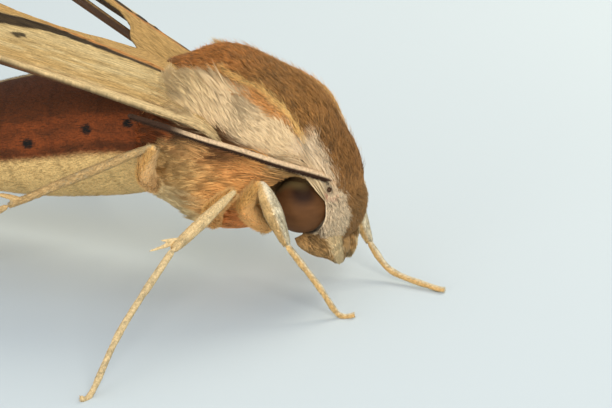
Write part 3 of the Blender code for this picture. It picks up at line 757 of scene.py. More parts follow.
def thorax_paint(at, back, share, patchy, fine, points):
    """A brown back, a golden line, rust, the pale shoulder plates, and golden sides."""
    wander = at + 0.6 * (patchy - 0.5)
    pale = layered(
        TEGULA,
        (TEGULA_GREY, 0.1 * fade(0.66, 0.82, fine) * fade(1.0, 0.3, share)),
        (TEGULA_REAR, fade(8.2, 7.2, wander)),
    )
    line, plate = np.interp(at, *GOLD_LINE), np.interp(at, *PLATE_LINE)
    top = layered(
        REAR,
        (DORSUM, fade(7.0, 8.4, wander)),
        (COLLAR, fade(9.4, 9.9, at)),
        (RUST, fade(line - 1, line + 2, back)),
        (GOLD, bell(back, line, 2.3) * fade(7.2, 7.8, at)),
        (pale, fade(plate - 2, plate + 1.5, back) * fade(6.4, 6.7, at)),
        (STRIPE, fade(9.45, 9.8, at) * fade(1.25, 1.5, off_middle(points)) * fade(63, 56, back)),
    )
    side = layered(
        PLEURA_GOLD,
        (PLEURA_ORANGE, fade(7.7, 8.7, at + 0.7 * (patchy - 0.5))),
        (PLEURA_CREAM, fade(106, 122, back) * fade(8.3, 7.6, at)),
        (PLEURA_RED, fade(118, 130, back) * fade(8.2, 8.6, at)),
        (PLEURA_RED, bell(back, 85, 6) * 0.4),
        # Painted shade below the wing's root and shoulder plate
        (PLEURA_GAP_SHADE, fade(86, 77, back) * fade(9.4, 8.6, at)),
        (PALP_SIDE, fade(9.1, 9.8, at)),
    )
    cover = np.maximum(fade(1.2, 1.06, share), np.maximum(fade(8.3, 8.1, at), fade(9.1, 9.4, at)))
    return mix(top, side, np.maximum(fade(69, 73, back), fade(62, 67, back) * (1 - cover)))


def abdomen_paint(at, back, fine, points):
    """Dark streaked flanks with a row of spots, a thin pale line on the back and a cream belly."""
    wavy = back + 5 * (noise(points * 0.5, 7) - 0.5)
    streak = 0.5 + 0.5 * np.sin(np.radians(wavy * 22)) * 0.7 + 0.9 * (fine - 0.5)
    colour = layered(
        ABDOMEN_DARK,
        (ABDOMEN_ORANGE, np.clip(streak, 0, 1) * fade(52, 70, back)),
        (ABDOMEN_ORANGE, 0.4 * bell(back, 79, 6)),
        (PLEURA_CREAM, 0.5 * fade(7, 3, back)),
        (ABDOMEN_CREAM, fade(97, 105, wavy)),
    )
    joint = np.abs((at * SEGMENTS / WAIST + 0.5) % 1 - 0.5)
    colour = colour * (1 - 0.22 * fade(0.09, 0.0, joint))[:, None]
    for spot_at, spot_back in SPOT_PLACES:
        away = np.hypot((at - spot_at) / SPOT_SIZE[0], (back - spot_back) / SPOT_SIZE[1])
        colour = layered(colour, (ABDOMEN_ORANGE, 0.9 * fade(3.2, 1.5, away)), (SPOT, fade(1.25, 0.8, away)))
    return colour


def body_paint(at, angle, points):
    """Colours of the abdomen and the thorax, which meet in a ragged line."""
    back = back_angle(angle)
    patchy = noise(points * 1.3, 5)
    fine = noise(points * np.array((1.0, 5.0, 5.0)), 6)
    thorax = thorax_paint(at, back, tegula_share(at, angle), patchy, fine, points)
    waist = 6.2 + 0.5 * fade(46, 58, back) * fade(140, 112, back) + 0.25 * (patchy - 0.5)
    waist = waist + 0.45 * bell(back, 76, 15)
    return mix(abdomen_paint(at, back, fine, points), thorax, fade(waist - 0.12, waist + 0.12, at))


def pit_distance(points):
    """How far each point is from the nearer of the two pits beside the antennae."""
    return np.minimum(*(np.linalg.norm(points - place(PIT, side), axis=1) for side in SIDES.values()))


def head_paint(turn, reach, points):
    """Brown brow and face, with a pale stripe in front of each eye."""
    high, off, away = points[:, 2], off_middle(points), pit_distance(points)
    ragged = off + 0.25 * (noise(points * np.array((1, 1, 6)), 8) - 0.5)
    ahead = points[:, 0] - EYE_X + 0.4 * (ragged - off)
    beside = fade(0.95, 1.12, ragged)
    pale = mix(STRIPE, PALP_CREAM, fade(4.2, 3.4, high))
    return layered(
        FRONS,
        (PALP_SIDE, beside),
        (pale, beside * fade(8.0, 7.6, high - 0.4 * off) * fade(0.4, 0.85, ahead)),
        (PIT_RIM, 0.7 * fade(0.46, 0.3, away)),
        # Painted shade in the gap under the eye
        (UNDER_EYE_SHADE, 0.9 * under_eye_shade(points)),
        (SPOT, fade(0.25, 0.17, away)),
    )


def nape_surface(share, angle, height=0.0):
    """A soft band over the crease between thorax and head."""
    rear = body_surface(np.full(len(share), NAPE_ROW), angle)
    across = np.clip((rear[:, 1] - MIDDLE_Y) / (HEAD_SIZE[1] - HEAD_DEPTH), -0.85, 0.85)
    front = head_surface(np.full(len(share), NAPE_TURN), np.arcsin(across))
    swell = NAPE_SWELL * np.sin(math.pi * np.clip(share, 0, 1)) + height
    return rear + (front - rear) * share[:, None] + swell[:, None] * np.array((0.9, 0.0, 0.44))


def nape_paint(share, angle, points):
    """Brown like the thorax and the face that it joins, cream at its sides."""
    ragged = off_middle(points) + 0.25 * (noise(points * 2.0, 8) - 0.5)
    return mix(mix(COLLAR, FRONS, fade(0.2, 0.9, share)), STRIPE, fade(1.05, 1.3, ragged))


def palp_surface(side):
    """A palp, which curves down from beside the mouth to its tip."""
    return tube_surface([place(p, side) for p in PALP_PATH], PALP_RADII, PALP_DEPTH, 0.2)


def cheek_surface(side):
    """A soft form that fills the crease between the head and a palp."""
    return tube_surface([place(p, side) for p in CHEEK_PATH], CHEEK_RADII, PALP_DEPTH, 0.3)


def palp_paint(share, turn, points):
    """Golden-brown sides and front, with a cream wedge before each eye that ends near the tip."""
    high, off = points[:, 2], off_middle(points)
    front = 0.89 * (points[:, 0] - EYE_X) - 0.454 * off
    streaks = noise(points * np.array((3, 3, 8)), 8) - 0.5
    behind = np.interp(high, (2.2, 3.0, 3.9), (1.2, 0.82, 0.3))
    inner = np.interp(high, (2.15, 3.0, 3.9), (0.5, 0.95, 1.0))
    wedge = fade(behind - 0.1, behind + 0.12, front + 0.3 * streaks)
    wedge = wedge * fade(inner - 0.08, inner + 0.08, off + 0.2 * streaks)
    return layered(
        PALP_SIDE,
        (PALP_LOW, fade(0.7, 1.4, front) * fade(3.0, 2.4, high)),
        (PALP_CREAM, wedge * fade(1.95, 2.3, high)),
        # Painted shade in the gap under the eye
        (UNDER_EYE_SHADE, 0.9 * under_eye_shade(points)),
    )


def leg_paint(base, fleck_share):
    """Pale scales with dark flecks, and an ochre front edge."""

    def paint(share, turn, points):
        flecks = fleck_share * fade(0.6, 0.72, noise(points * np.array((7.0, 7.0, 4.0)), 9))
        return layered(base, (LEG_FLECK, flecks), (LEG_OCHRE, 0.8 * fade(0.4, 0.9, np.sin(turn))))

    return paint


def wing_paint(length, chord, points):
    """Bands along the forewing, from the pale front edge to the dark stripe on the ridge."""

    def specks(along_scale, across_scale, seed):
        return noise(np.stack([length * along_scale, chord * across_scale, 0 * chord], 1), seed)

    soft = noise(np.stack([length * 0.5, chord * 3.0, 0 * chord], 1) * 1.7, 12)
    lower, upper = np.interp(length, *STRIPE_LOWER), np.interp(length, *STRIPE_UPPER)
    inside = fade(lower - 0.04, lower + 0.06, chord) * fade(upper + 0.06, upper - 0.06, chord)
    beyond = length - WING_DOT[0]
    dot = np.hypot(beyond * 0.55, (chord - WING_DOT[1] + 0.12 * beyond) * 1.5)
    dot = dot + 0.28 * (specks(4.0, 9.0, 14) - 0.5)
    colour = layered(
        WING_GOLD,
        (WING_CREAM, fade(0.45, 0.75, soft)),
        (WING_COSTA, fade(1.25, 0.95, chord)),
        (WING_TAN, 0.6 * bell(chord, 1.55, 0.3)),
        (WING_UNDER, 0.45 * bell(chord - 1.1, 0.1 * soft, 0.05)),
        (WING_CREAM, 0.85 * bell(chord, lower - 0.45, 0.35)),
        (np.array(WING_GOLD) * 0.6, bell(chord, lower - 1.0, 0.07) * 0.5),
        (WING_TAN, fade(upper - 0.05, upper + 0.1, chord)),
        (WING_RIM, 0.8 * bell(chord - upper, 0.1, 0.12) * fade(14, 11, length)),
        (WING_STRIPE, inside * (0.9 + 0.1 * soft)),
        (SPOT, 0.9 * fade(0.34, 0.14, dot)),
    )
    for start, strength in OBLIQUE_LINES:
        line = bell(length - start, 0.8 * chord, 0.35)
        colour = mix(colour, WING_UNDER, strength * line * fade(1.2, 2.2, chord))
    freckles = 0.45 * fade(0.74, 0.84, specks(3.0, 5.0, 13))
    return mix(colour, WING_UNDER, freckles * fade(1.4, 0.5, chord))


def hindwing_paint(length, chord, points):
    """Dark brown, paler to the back edge."""
    return mix(WING_UNDER, WING_GOLD, fade(3.0, 4.2, chord))


# Skin: one closed surface under the coat of body, head, palps and legs
def spread(values, count):
    """Values read evenly along a short list of them."""
    return np.interp(steps(count), steps(len(values)), values)


def swapped(function):
    """The same function with its two coordinates the other way round."""
    return lambda first, second, *rest: function(second, first, *rest)


def remesh(points, triangles, voxel):
    """The outer surface of overlapping closed forms, as one even mesh."""
    blank = bpy.data.meshes.new("forms")
    blank.from_pydata(points.tolist(), [], triangles.tolist())
    thing = bpy.data.objects.new("forms", blank)
    bpy.context.scene.collection.objects.link(thing)
    fuse = thing.modifiers.new("fuse", "REMESH")
    fuse.mode = "VOXEL"
    fuse.voxel_size = voxel
    relax = thing.modifiers.new("relax", "SMOOTH")
    relax.iterations = RELAX_STEPS
    graph = bpy.context.evaluated_depsgraph_get()
    fused = bpy.data.meshes.new_from_object(thing.evaluated_get(graph))
    bpy.data.objects.remove(thing)
    fused.calc_loop_triangles()
    places = np.empty(3 * len(fused.vertices))
    fused.vertices.foreach_get("co", places)
    faces = np.empty(3 * len(fused.loop_triangles), np.int32)
    fused.loop_triangles.foreach_get("vertices", faces)
    bpy.data.meshes.remove(fused)
    return places.reshape(-1, 3), faces.reshape(-1, 3)


def join(parts):
    """Points, triangles and colours of several forms as one list each."""
    points, triangles, colours = zip(*parts)
    starts = np.cumsum([0] + [len(group) for group in points[:-1]])
    triangles = [group + start for group, start in zip(triangles, starts)]
    return np.concatenate(points), np.concatenate(triangles), np.concatenate(colours)


def leg_points(name):
    """Hip, trochanter, knee, ankle, foot and toe of a leg."""
    kind, key = name.split("_")
    return [place(p, SIDES[key]) for p in HIPS[kind] + LEGS[name]]


def leg_lines(name):
    """The lines and radii of a leg's coxa, femur, shin and foot."""
    kind, key = name.split("_")
    hip, trochanter, knee, ankle, foot, toe = leg_points(name)
    bow = np.array((FEMUR_BOW[kind][0], SIDES[key] * FEMUR_BOW[kind][1], 0.0))
    flat = unit(np.array((toe[0] - foot[0], toe[1] - foot[1], 0.0)))
    end = np.array((toe[0], toe[1], TARSUS_REST))
    return {
        "coxa": ((hip, (hip + trochanter) / 2, trochanter), COXA_RADII),
        "femur": ((trochanter, (trochanter + knee) / 2 + bow, knee), FEMUR_RADII),
        "tibia": ((knee, (knee + ankle) / 2, ankle), TIBIA_RADII[kind]),
        "tarsus": ((ankle, foot, end - flat * 0.9, end), tarsus_radii()),
    }


def tarsus_radii(count=61, joints=5):
    """The foot's radii: five joints, each a little wider at its end."""
    return spread(TARSUS_RADII, count) * (0.86 + 0.2 * ((steps(count) * joints) % 1.0) ** 1.5)


def spur_lines(name):
    """The lines of the spurs on a leg's shin."""
    kind = name.split("_")[0]
    _, _, knee, ankle, _, _ = leg_points(name)
    toward = unit(ankle - knee)
    for share in SPUR_PLACES.get(kind, ()):
        root = knee + (ankle - knee) * share
        for length, (back, up) in zip(SPUR_LENGTHS, SPUR_LEANS[kind]):
            lean = unit(toward + np.array((back, 0.0, up)))
            yield root - lean * 0.1, root + lean * length * 0.5, root + lean * length


def leg_parts(name):
    """Each part of a leg as a name, a form and its paint."""
    kind = name.split("_")[0]
    cream = LEG_CREAM[kind]
    looks = {
        "coxa": ({"sink": 0.1}, PLEURA_GOLD, 0.1),
        "femur": ({"ends": 0.06}, FEMUR_COLOURS[kind], 0.2),
        "tibia": ({"ends": 0.06}, cream, 0.75),
        "tarsus": ({"ends": 0.03}, mix(cream, LEG_FLECK, 0.25), 0.8),
    }
    for part, (line, radii) in leg_lines(name).items():
        shape, base, flecks = looks[part]
        yield part, tube_surface(line, radii, **shape), leg_paint(base, flecks)


def sink_sockets(points):
    """Moves the skin in under the domes of the eyes, and tells which points moved."""
    sunk = np.zeros(len(points), bool)
    for side in SIDES.values():
        away = points - eye_centre(side)
        ring = np.hypot(away[:, 0], away[:, 2] * 0.95)
        dome = np.sqrt(np.maximum(EYE_RADIUS**2 - ring**2, 0)) - SOCKET_SINK
        dome = dome + SOCKET_SLANT * np.maximum(ring - EYE_RADIUS, 0)
        inside = (ring < EYE_RADIUS + SOCKET_EDGE) & (away[:, 1] * side > dome)
        points[inside, 1] = eye_centre(side)[1] + side * dome[inside]
        sunk |= inside
    return sunk


def build_skin():
    """One skin: body, head and coxae in one mesh, and the rest of the legs in a finer one."""
    parts = [
        form(body_surface, 320, 180, body_paint, (0, NECK)),
        form(swapped(head_surface), 80, 96, swapped(head_paint), (-1.5, 1.5)),
        form(tube_surface([place(p) for p in NAPE_PATH], NAPE_RADII, ends=0.3), 60, 60, head_paint),
        form(tube_surface([place(p) for p in CLEFT_PATH], CLEFT_RADII, ends=0.2), 40, 40, palp_paint),
    ]
    for side in SIDES.values():
        parts += [form(surface(side), 40, 40, palp_paint) for surface in (palp_surface, cheek_surface)]
    legs = []
    for name in LEGS:
        for part, surface, paint in leg_parts(name):
            (parts if part == "coxa" else legs).append(form(surface, 80, 20, paint))
        for line in spur_lines(name):
            spur = tube_surface(line, SPUR_RADII, ends=0.05)
            legs.append(form(spur, 24, 12, leg_paint(LEG_CREAM[name.split("_")[0]], 0.2)))
    fused = []
    for group, voxel in ((parts, BODY_VOXEL), (legs, LEG_VOXEL)):
        samples, triangles, colours = join(group)
        points, faces = remesh(samples, triangles, voxel)
        tone = np.ones(len(points))
        if group is parts:
            sunk = sink_sockets(points)
            # Painted shade: the skin a little darker under the thorax's long coat, and much darker in the eye
            # sockets
            tone = 1.05 - 0.15 * fade(COAT_SHADE_X - 0.4, COAT_SHADE_X + 0.4, points[:, 0]) - 0.65 * sunk
        fused.append((points, faces, colours[nearest(points, samples)] * tone[:, None]))
    skin = mesh_object("skin", join(fused), skin_material)
    flesh = ["abdomen_tip", "metathorax", "mesothorax", "collar", "head"]
    flesh += ["palp_r", "palp_l", "tegula_r", "tegula_l"]
    flesh += [f"abdomen_{k}" for k in range(1, SEGMENTS)]
    for name in LEGS:
        kind, key = name.split("_")
        flesh += [f"{kind}_{part}_{key}" for part in leg_lines(name)]
    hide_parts(*flesh)
    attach(skin, "root")


# Wings
SHEET_HALF = 0.06
EDGE_SWELL = 0.16
EDGE_WIDTH = 0.12
VEIN_HEIGHT = 0.06
VEIN_WIDTH = 0.09
RAGGED = 0.12
# The length over which the front edge would lose its swell, and the end of the finer mesh
SWELL_LENGTH = 45
FINE_END = 16.0


def wing_dive(length):
    """How deep the wing's root dives under the coat of the thorax."""
    return WING_DIVE * fade(2.8, 0.3, length)


def build_wing(name, key, front, back, veins, below, paint, rows, columns):
    """A thin closed sheet with a round front edge, raised veins and a ragged back edge."""
    front, back = np.array(front), np.array(back)
    start, end = front[0][0] + 0.1, front[-1][0] - 0.05
    coarse = np.linspace(FINE_END + 0.2, end, rows // 3)
    lengths = np.concatenate([np.linspace(start, FINE_END, rows), coarse])
    length, share = np.meshgrid(lengths, steps(columns), indexing="ij")
    low = np.interp(lengths, front[:, 0], front[:, 1])[:, None]
    high = np.interp(lengths, back[:, 0], back[:, 1])[:, None]
    chord = low * (1 - share) + high * share
    zero = 0 * share.ravel()
    ragged = RAGGED * (noise(np.stack([length.ravel() * 6, zero, zero], 1), 15) - 0.5)
    chord += ragged.reshape(chord.shape) * fade(0.9, 1.0, share)
    ridge = VEIN_HEIGHT * bell(share * veins % 1, 0.5, VEIN_WIDTH) * fade(0.02, 0.12, share)
    swell = EDGE_SWELL * np.sqrt(np.clip(1 - share / EDGE_WIDTH, 0, 1)) * (1 - lengths[:, None] / SWELL_LENGTH)
    half = SHEET_HALF + swell
    length, chord, ridge, half = length.ravel(), chord.ravel(), ridge.ravel(), half.ravel()
    ridge = ridge + 0.1 * bell(chord, 0.75, 0.22) - 0.05 * bell(chord, 1.12, 0.08)
    ridge = ridge - wing_dive(length)
    count = len(length)
    index = np.arange(count).reshape(share.shape)
    upper = grid_faces(*share.shape, closed=False)
    rim = np.concatenate([index[0, :], index[1:, -1], index[-1, -2::-1], index[-2:0:-1, 0]])
    after = np.roll(rim, -1)
    edge = [np.stack([rim, rim + count, after], 1), np.stack([after, rim + count, after + count], 1)]
    points = np.concatenate([
        wing_surface(key, length, chord, half + ridge - below),
        wing_surface(key, length, chord, ridge - half - below),
    ])
    colours = paint(length, chord, points[:count])
    under = mix(colours * 0.5, WING_UNDER, np.full(count, 0.6))
    under = mix(under, colours, fade(0.97, 1.0, share).ravel())
    faces = np.concatenate([upper, upper[:, ::-1] + count, *edge])
    wing = mesh_object(name, (points, faces, np.concatenate([colours, under])), wing_material)
    spot = np.tile(np.stack([length, chord, 0 * chord], 1), (2, 1))
    layer = wing.data.attributes.new("spot", "FLOAT_VECTOR", "POINT")
    layer.data.foreach_set("vector", spot.astype(np.float32).ravel())
    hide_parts(name.replace("_scaled", ""))
    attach(wing, "root")


def build_wings():
    """Both pairs of wings, the hindwings under the forewings."""
    for key in SIDES:
        build_wing(
            f"forewing_{key}_scaled", key, FOREWING_FRONT, FOREWING_BACK, FOREWING_VEINS, 0.0,
            wing_paint, 150, 84,
        )
        build_wing(
            f"hindwing_{key}_scaled", key, HINDWING_FRONT, HINDWING_BACK, HINDWING_VEINS, HINDWING_BELOW,
            hindwing_paint, 75, 44,
        )


# Eyes
EYE_WRAP = math.pi * 0.62
EYE_COLUMNS = 96


def build_eyes():
    """Domed eyes, brown with an olive rim and a dark patch that looks out and forward."""
    for key, side in SIDES.items():

        def dome(tilt, turn):
            ring = np.sin(tilt)
            return np.stack([ring * np.cos(turn), side * np.cos(tilt), ring * np.sin(turn)], 1)

        out, triangles, tilt, turn = grid(dome, np.linspace(0.0, EYE_WRAP, 60), turns(EYE_COLUMNS))
        points = eye_centre(side) + out * EYE_RADIUS
        last = np.arange(len(out) - EYE_COLUMNS, len(out))
        triangles = np.concatenate([triangles, fan(last, len(out))])
        if side < 0:
            triangles = triangles[:, ::-1]
        points = np.vstack([points, points[last].mean(axis=0)])
        dark = np.arccos(np.clip(out @ unit(np.array((0.37, side * 0.58, 0.72))), -1, 1))
        bands = 1 + 0.1 * np.sin(9.0 * out[:, 2] + 1.2 * out[:, 0])
        colour = mix(EYE_BROWN, EYE_PATCH, 0.95 * fade(0.7, 0.2, dark)) * bands[:, None]
        rim = 0.9 * fade(44, 72, np.degrees(tilt)) * fade(0.4, -0.5, np.cos(turn) - 0.4 * np.sin(turn))
        colour = mix(colour, EYE_OLIVE, rim)
        colour = np.vstack([colour, colour[-1]])
        eye = mesh_object(f"eye_{key}_dome", (points, triangles, colour), eye_material)
        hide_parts("eye_" + key)
        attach(eye, "root")


def build_ocelli():
    """A small dark dome in the pale stripe beside each antenna's root."""
    for key, side in SIDES.items():
        out = unit(np.array(PIT) - np.array(HEAD_CENTRE))
        line = [place(np.array(PIT) + out * reach, side) for reach in (-OCELLUS_DEPTH, OCELLUS_RISE)]
        dome = tube_surface(line, (OCELLUS_RADIUS, OCELLUS_RADIUS), ends=0.5)
        ocellus = mesh_object(f"ocellus_{key}", form(dome, 20, 20), horn_material)
        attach(ocellus, "root")


# Antennae and tongue
def antenna_paint(share, turn, points):
    """Pale above and dark below, and dark to the tip."""
    return mix(COMB_DARK, ANTENNA_PALE, fade(-0.15, 0.1, np.cos(turn)) * fade(0.82, 0.7, share))


def build_antennae():
    """Ringed shafts with fine scales above and a short comb of hairs below."""
    for key, side in SIDES.items():
        shift = np.array(ANTENNA_SHIFT[key])
        line = [place(p + shift, side) for p in (ANTENNA_ROOT, *ANTENNA_PATH)]
        share = steps(ANTENNA_ROWS)
        radii = (0.22 - 0.09 * share) * (0.94 + 0.06 * np.abs(np.sin(share * math.pi * ANTENNA_RINGS)))
        surface = tube_surface(line, radii, ends=0.02)
        parts = form(surface, ANTENNA_ROWS, 20, antenna_paint)
        shaft = mesh_object(f"antenna_{key}_shaft", parts, skin_material)
        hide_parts("antenna_" + key)
        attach(shaft, "root")
        shared = {"length": 0.22, "plain": True, "clear_eyes": False, "slot": "pale"}
        coat(
            f"antenna_{key}_scales", surface, ((0.0, 0.98), (-math.pi, math.pi)), 3000, antenna_paint,
            lying(1), width=0.05, rise=0.03, tone=0.1, painted_root_shade=0.85, **shared,
        )
        coat(
            f"antenna_{key}_comb", surface, ((0.08, 0.98), (2.3, 4.0)), 3000, antenna_paint, lying(0.6, -1),
            width=0.035, rise=0.14, tone=0.2, painted_root_shade=0.9, **shared,
        )


def build_tongue():
    """The tongue between the palps, curled by just under one turn."""
    turn = np.radians(100) - math.tau * TONGUE_TURNS * steps(40)
    reach = TONGUE_COIL * (1 - TONGUE_TIGHTENING * steps(40))
    line = place(TONGUE_CENTRE) + np.stack([np.cos(turn) * reach, 0 * turn, np.sin(turn) * reach], 1)
    rings = 0.96 + 0.04 * np.cos(np.arange(200) * 1.6)
    radii = (TONGUE_RADIUS - 0.04) * (1 - 0.5 * steps(200)) * rings
    surface = tube_surface(line, radii, ends=0.02, aim=(0.0, 1.0, 0.0))
    tongue = mesh_object("tongue", form(surface, 200, 16), horn_material)
    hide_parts("proboscis")
    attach(tongue, "root")


# Coats
THORAX = (6.2, NECK - 0.15)
TOP = math.pi / 2
ROUND = (0, math.tau)
LEG_COATS = {
    "coxa": (1500, {"length": 0.9, "width": 0.06, "rise": 0.3, "stray": 0.15, "painted_root_shade": 0.8}),
    "femur": (2400, {"length": 0.8, "width": 0.06, "rise": 0.2, "stray": 0.2, "painted_root_shade": 0.8}),
    "tibia": (3000, {"length": 0.42, "width": 0.04, "rise": 0.04, "stray": 0.06, "painted_root_shade": 0.95}),
    "tarsus": (1600, {"length": 0.28, "width": 0.04, "rise": 0.02, "stray": 0.06, "painted_root_shade": 0.95}),
}


def on_plate(u, v):
    """Which places lie on a shoulder plate or just behind it."""
    back = back_angle(v)
    behind = (u > 6.6) & (u < 8.2) & (back < 71)
    return (back > np.interp(u, *PLATE_LINE)) & (behind | (tegula_share(u, v) < 1.06))


def wing_top(key):
    """The upper face of a forewing, as a form."""

    def surface(length, chord, height=0.0):
        return wing_surface(key, length, chord, height + 0.1 - wing_dive(length))

    return surface


def root_paint(length, chord, points):
    """The wing's colours, paler at its root."""
    return mix(wing_paint(length, chord, points) * 1.2, TEGULA_REAR, fade(6.5, 2.0, length))


def palp_comb(u, v, points, along_u):
    """Down and forward, then together to the tip."""
    side = np.sign(points[:, 1] - MIDDLE_Y)
    tip = np.stack([EYE_X + 1.95 + 0 * side, MIDDLE_Y + 0.22 * side, 1.7 + 0 * side], 1)
    return mix(np.array((0.9, 0.0, -0.6)) + 0 * points, unit(tip - points), fade(0.35, 0.75, u))


def face_comb(u, v, points, along_u):
    """Down the face, and up over the brow."""
    return mix(np.array((0.55, 0.0, -1.0)) + 0 * points, (-0.5, 0.0, 1.0), fade(6.3, 7.0, points[:, 2]))


def build_body_coats():
    """The coats of thorax and abdomen, the scales at the wing roots and the spiky tuft."""
    coat(
        "coat_back", body_surface, (THORAX, (TOP - 0.92, TOP + 0.92)), 22000, body_paint, length=0.9,
        width=0.056, rise=0.42, wave=0.3, stray=0.22, clump=0.5, clump_size=12, tone=0.26, painted_root_shade=0.4,
        painted_tip_light=1.4,
        keep=lambda u, v, p: (back_angle(v) < 52) & ~on_plate(u, v), finish=velvet_material,
    )
    for key, middle in (("r", math.radians(143)), ("l", math.radians(37))):
        coat(
            f"coat_plate_{key}", body_surface, ((6.6, 10.0), (middle - 0.5, middle + 0.5)), 11000, body_paint,
            lying(-1, 0.55), length=lambda u, v, p: 1.7 + 0.8 * fade(8.6, 7.6, u), width=0.06,
            rise=lambda u, v, p: 0.36 + 0.75 * fade(8.3, 7.3, u), wave=0.4, stray=0.1, clump=0.4,
            clump_size=12, painted_root_shade=0.85, painted_tip_light=1.2, keep=lambda u, v, p: on_plate(u, v), slot="pale",
        )
        coat(
            f"coat_wing_root_{key}", wing_top(key), ((0.6, 7.5), (0.5, 3.3)), 4000, root_paint, lying(1),
            length=lambda u, v, p: 1.3 - 0.12 * u, width=0.04, rise=0.02, wave=0.12, stray=0.08,
            painted_root_shade=1.2, painted_tip_light=1.25, plain=True, keep=lambda u, v, p: fade(7.5, 1.0, u) ** 2,
            slot="pale",
        )
    coat(
        "coat_tuft", body_surface, ((6.4, 7.9), (math.radians(136), math.radians(140))), 30,
        lambda u, v, p: np.array(TEGULA) + 0 * p, lying(-1, 0.7), length=3.3, width=0.035, rise=1.5, wave=0.0,
        stray=0.02, clump=0.96, clump_size=30, tone=0.1, painted_root_shade=0.85, painted_tip_light=1.0,
        keep=lambda u, v, p: u > 7.65, slot="pale",
    )
    coat(
        "coat_side", body_surface, (THORAX, (TOP + 0.87, 2.5 * math.pi - 0.87)), 27000, body_paint,
        lying(-1, -0.1), length=lambda u, v, p: 1.5 + 0.8 * fade(7.0, 8.3, u), width=0.062,
        rise=lambda u, v, p: 0.3 + 0.32 * fade(7.0, 8.3, u), wave=0.4, clump=0.72, clump_size=28, tone=0.22,
        painted_root_shade=0.85, painted_tip_light=1.65, keep=lambda u, v, p: (back_angle(v) >= 50) & ~on_plate(u, v),
    )
    coat(
        "coat_abdomen", body_surface, ((0.05, 6.45), ROUND), 20000, body_paint, length=0.6, width=0.04,
        rise=0.06, wave=0.12, stray=0.08, tone=0.2, painted_root_shade=1.0, painted_tip_light=1.15, plain=True, slot="belly",
    )
    coat(
        "coat_tail", body_surface, ((0.0, 0.7), ROUND), 1500, body_paint, length=1.3, width=0.08, rise=0.15,
        clump=0.4, slot="belly",
    )


def build_head_coats():
    """The coats of head, nape, palps and cheeks, and the loose hairs that stand out over the back."""
    coat(
        "coat_head", head_surface, ((-1.5, 2.4), (-1.3, 1.3)), 13000, head_paint, face_comb,
        length=lambda u, v, p: 0.5 + 0.4 * fade(6.6, 7.6, p[:, 2]), width=0.05, rise=0.33, wave=0.35,
        stray=0.3, clump=0.3, clump_size=8, tone=0.17, painted_root_shade=0.6, painted_tip_light=1.2, finish=velvet_material,
    )
    coat(
        "coat_nape", nape_surface, ((0.0, 1.0), (TOP - 0.85, TOP + 0.85)), 7000, nape_paint, length=0.8,
        width=0.05, rise=0.25, wave=0.3, stray=0.25, clump=0.35, clump_size=10, tone=0.22, painted_root_shade=0.6,
        painted_tip_light=1.2, finish=velvet_material,
    )
    coat(
        "coat_back_fringe", body_surface, ((6.6, 10.6), (TOP - 0.8, TOP + 0.8)), 1600, body_paint, length=0.8,
        width=0.022, rise=0.62, wave=0.4, stray=0.35, tone=0.2, painted_root_shade=0.9, painted_tip_light=1.6,
    )
    shared = {"width": 0.048, "wave": 0.2, "stray": 0.15, "clump": 0.4, "clump_size": 10, "tone": 0.24}
    for key, side in SIDES.items():
        coat(
            f"coat_palp_{key}", palp_surface(side), ((0.0, 1.0), ROUND), 5000, palp_paint, palp_comb,
            length=0.7, rise=0.18, painted_root_shade=0.75, painted_tip_light=1.45, **shared,
        )
        coat(
            f"coat_cheek_{key}", cheek_surface(side), ((0.0, 0.97), ROUND), 3200, palp_paint, palp_comb,
            length=0.6, rise=0.2, painted_root_shade=0.5, painted_tip_light=1.3, **shared,
        )


def build_leg_coats():
    """Scales on every part of every leg, lying towards the foot."""
    for name in LEGS:
        for part, surface, paint in leg_parts(name):
            count, look = LEG_COATS[part]
            end = 0.9 if part == "femur" else 0.98
            coat(
                f"coat_{part}_{name}", surface, ((0.02, end), ROUND), count, paint, lying(1),
                clear_eyes=False, wave=0.06, plain=True, tone=0.2, painted_tip_light=1.25, slot="leg", **look,
            )


# Stage
FLOOR_COLOUR = (0.59, 0.68, 0.74)
FLOOR_SIZE = 3.0
SKY_COLOUR = (0.98, 0.985, 0.99, 1.0)
SKY_STRENGTH = 0.64
VIEW_TURN = 27.0
VIEW_DROP = 19.0
VIEW_DISTANCE = 160.0
FRAME_WIDTH = 34.0
SENSOR = 36.0
NEAR_CLIP = 0.01
VIEW_OFFSET = (0.278, 0.056)
# Name, degrees round from the moth's right and up, distance and size in metres, power and colour
LAMPS = (
    ("key", 40, 32, 0.3, 0.14, 0.44, (1.0, 0.95, 0.88)),
    ("fill", -8, 8, 0.3, 0.14, 0.25, (1.0, 0.94, 0.84)),
    ("rim", 165, 40, 0.16, 0.1, 0.13, (1.0, 0.9, 0.7)),
)


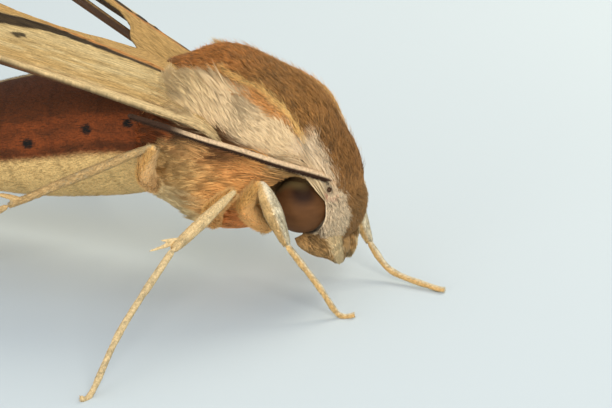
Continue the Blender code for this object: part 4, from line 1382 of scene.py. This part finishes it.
def build_camera():
    """A long lens at the photograph's angle and distance."""
    turn, drop = math.radians(VIEW_TURN), math.radians(VIEW_DROP)
    right = Vector((math.cos(turn), math.sin(turn), 0.0))
    ahead = Vector((-math.sin(turn) * math.cos(drop), math.cos(turn) * math.cos(drop), -math.sin(drop)))
    up = right.cross(ahead)
    target = Vector(eye_centre(SIDES["r"])) + right * VIEW_OFFSET[0] + up * VIEW_OFFSET[1]
    data = bpy.data.cameras.new("camera")
    data.sensor_width = SENSOR
    data.lens = SENSOR * VIEW_DISTANCE / FRAME_WIDTH
    data.clip_start = NEAR_CLIP
    camera = bpy.data.objects.new("camera", data)
    axes = Matrix((right, up, -ahead)).transposed().to_4x4()
    camera.matrix_world = Matrix.Translation((target - ahead * VIEW_DISTANCE) * MM) @ axes
    bpy.context.scene.collection.objects.link(camera)
    bpy.context.scene.camera = camera


def build_lamp(name, azimuth, elevation, distance, size, power, colour):
    """A round soft light that shines on the near eye."""
    lamp = bpy.data.lights.new(name, "AREA")
    lamp.shape = "DISK"
    lamp.size = size
    lamp.energy = power
    lamp.color = colour
    turn, lift = math.radians(azimuth), math.radians(elevation)
    away = Vector((math.sin(turn) * math.cos(lift), -math.cos(turn) * math.cos(lift), math.sin(lift)))
    thing = bpy.data.objects.new(name, lamp)
    thing.location = Vector(eye_centre(SIDES["r"])) * MM + away * distance
    thing.rotation_euler = away.to_track_quat("Z", "Y").to_euler()
    bpy.context.scene.collection.objects.link(thing)


def build_stage():
    """The pale floor, the camera, the lights and the sky."""
    bpy.ops.mesh.primitive_plane_add(size=FLOOR_SIZE)
    floor = bpy.context.active_object
    floor.name = "floor"
    floor.data.materials.append(make_plain("floor", FLOOR_COLOUR, 0.8))
    build_camera()
    for lamp in LAMPS:
        build_lamp(*lamp)
    world = bpy.data.worlds.new("studio")
    world.use_nodes = True
    sky = world.node_tree.nodes["Background"]
    sky.inputs["Color"].default_value = SKY_COLOUR
    sky.inputs["Strength"].default_value = SKY_STRENGTH
    bpy.context.scene.world = world
    bpy.context.scene.view_settings.view_transform = "Standard"


build_skin()
build_wings()
build_eyes()
build_ocelli()
build_antennae()
build_tongue()
build_body_coats()
build_head_coats()
build_leg_coats()
build_stage()
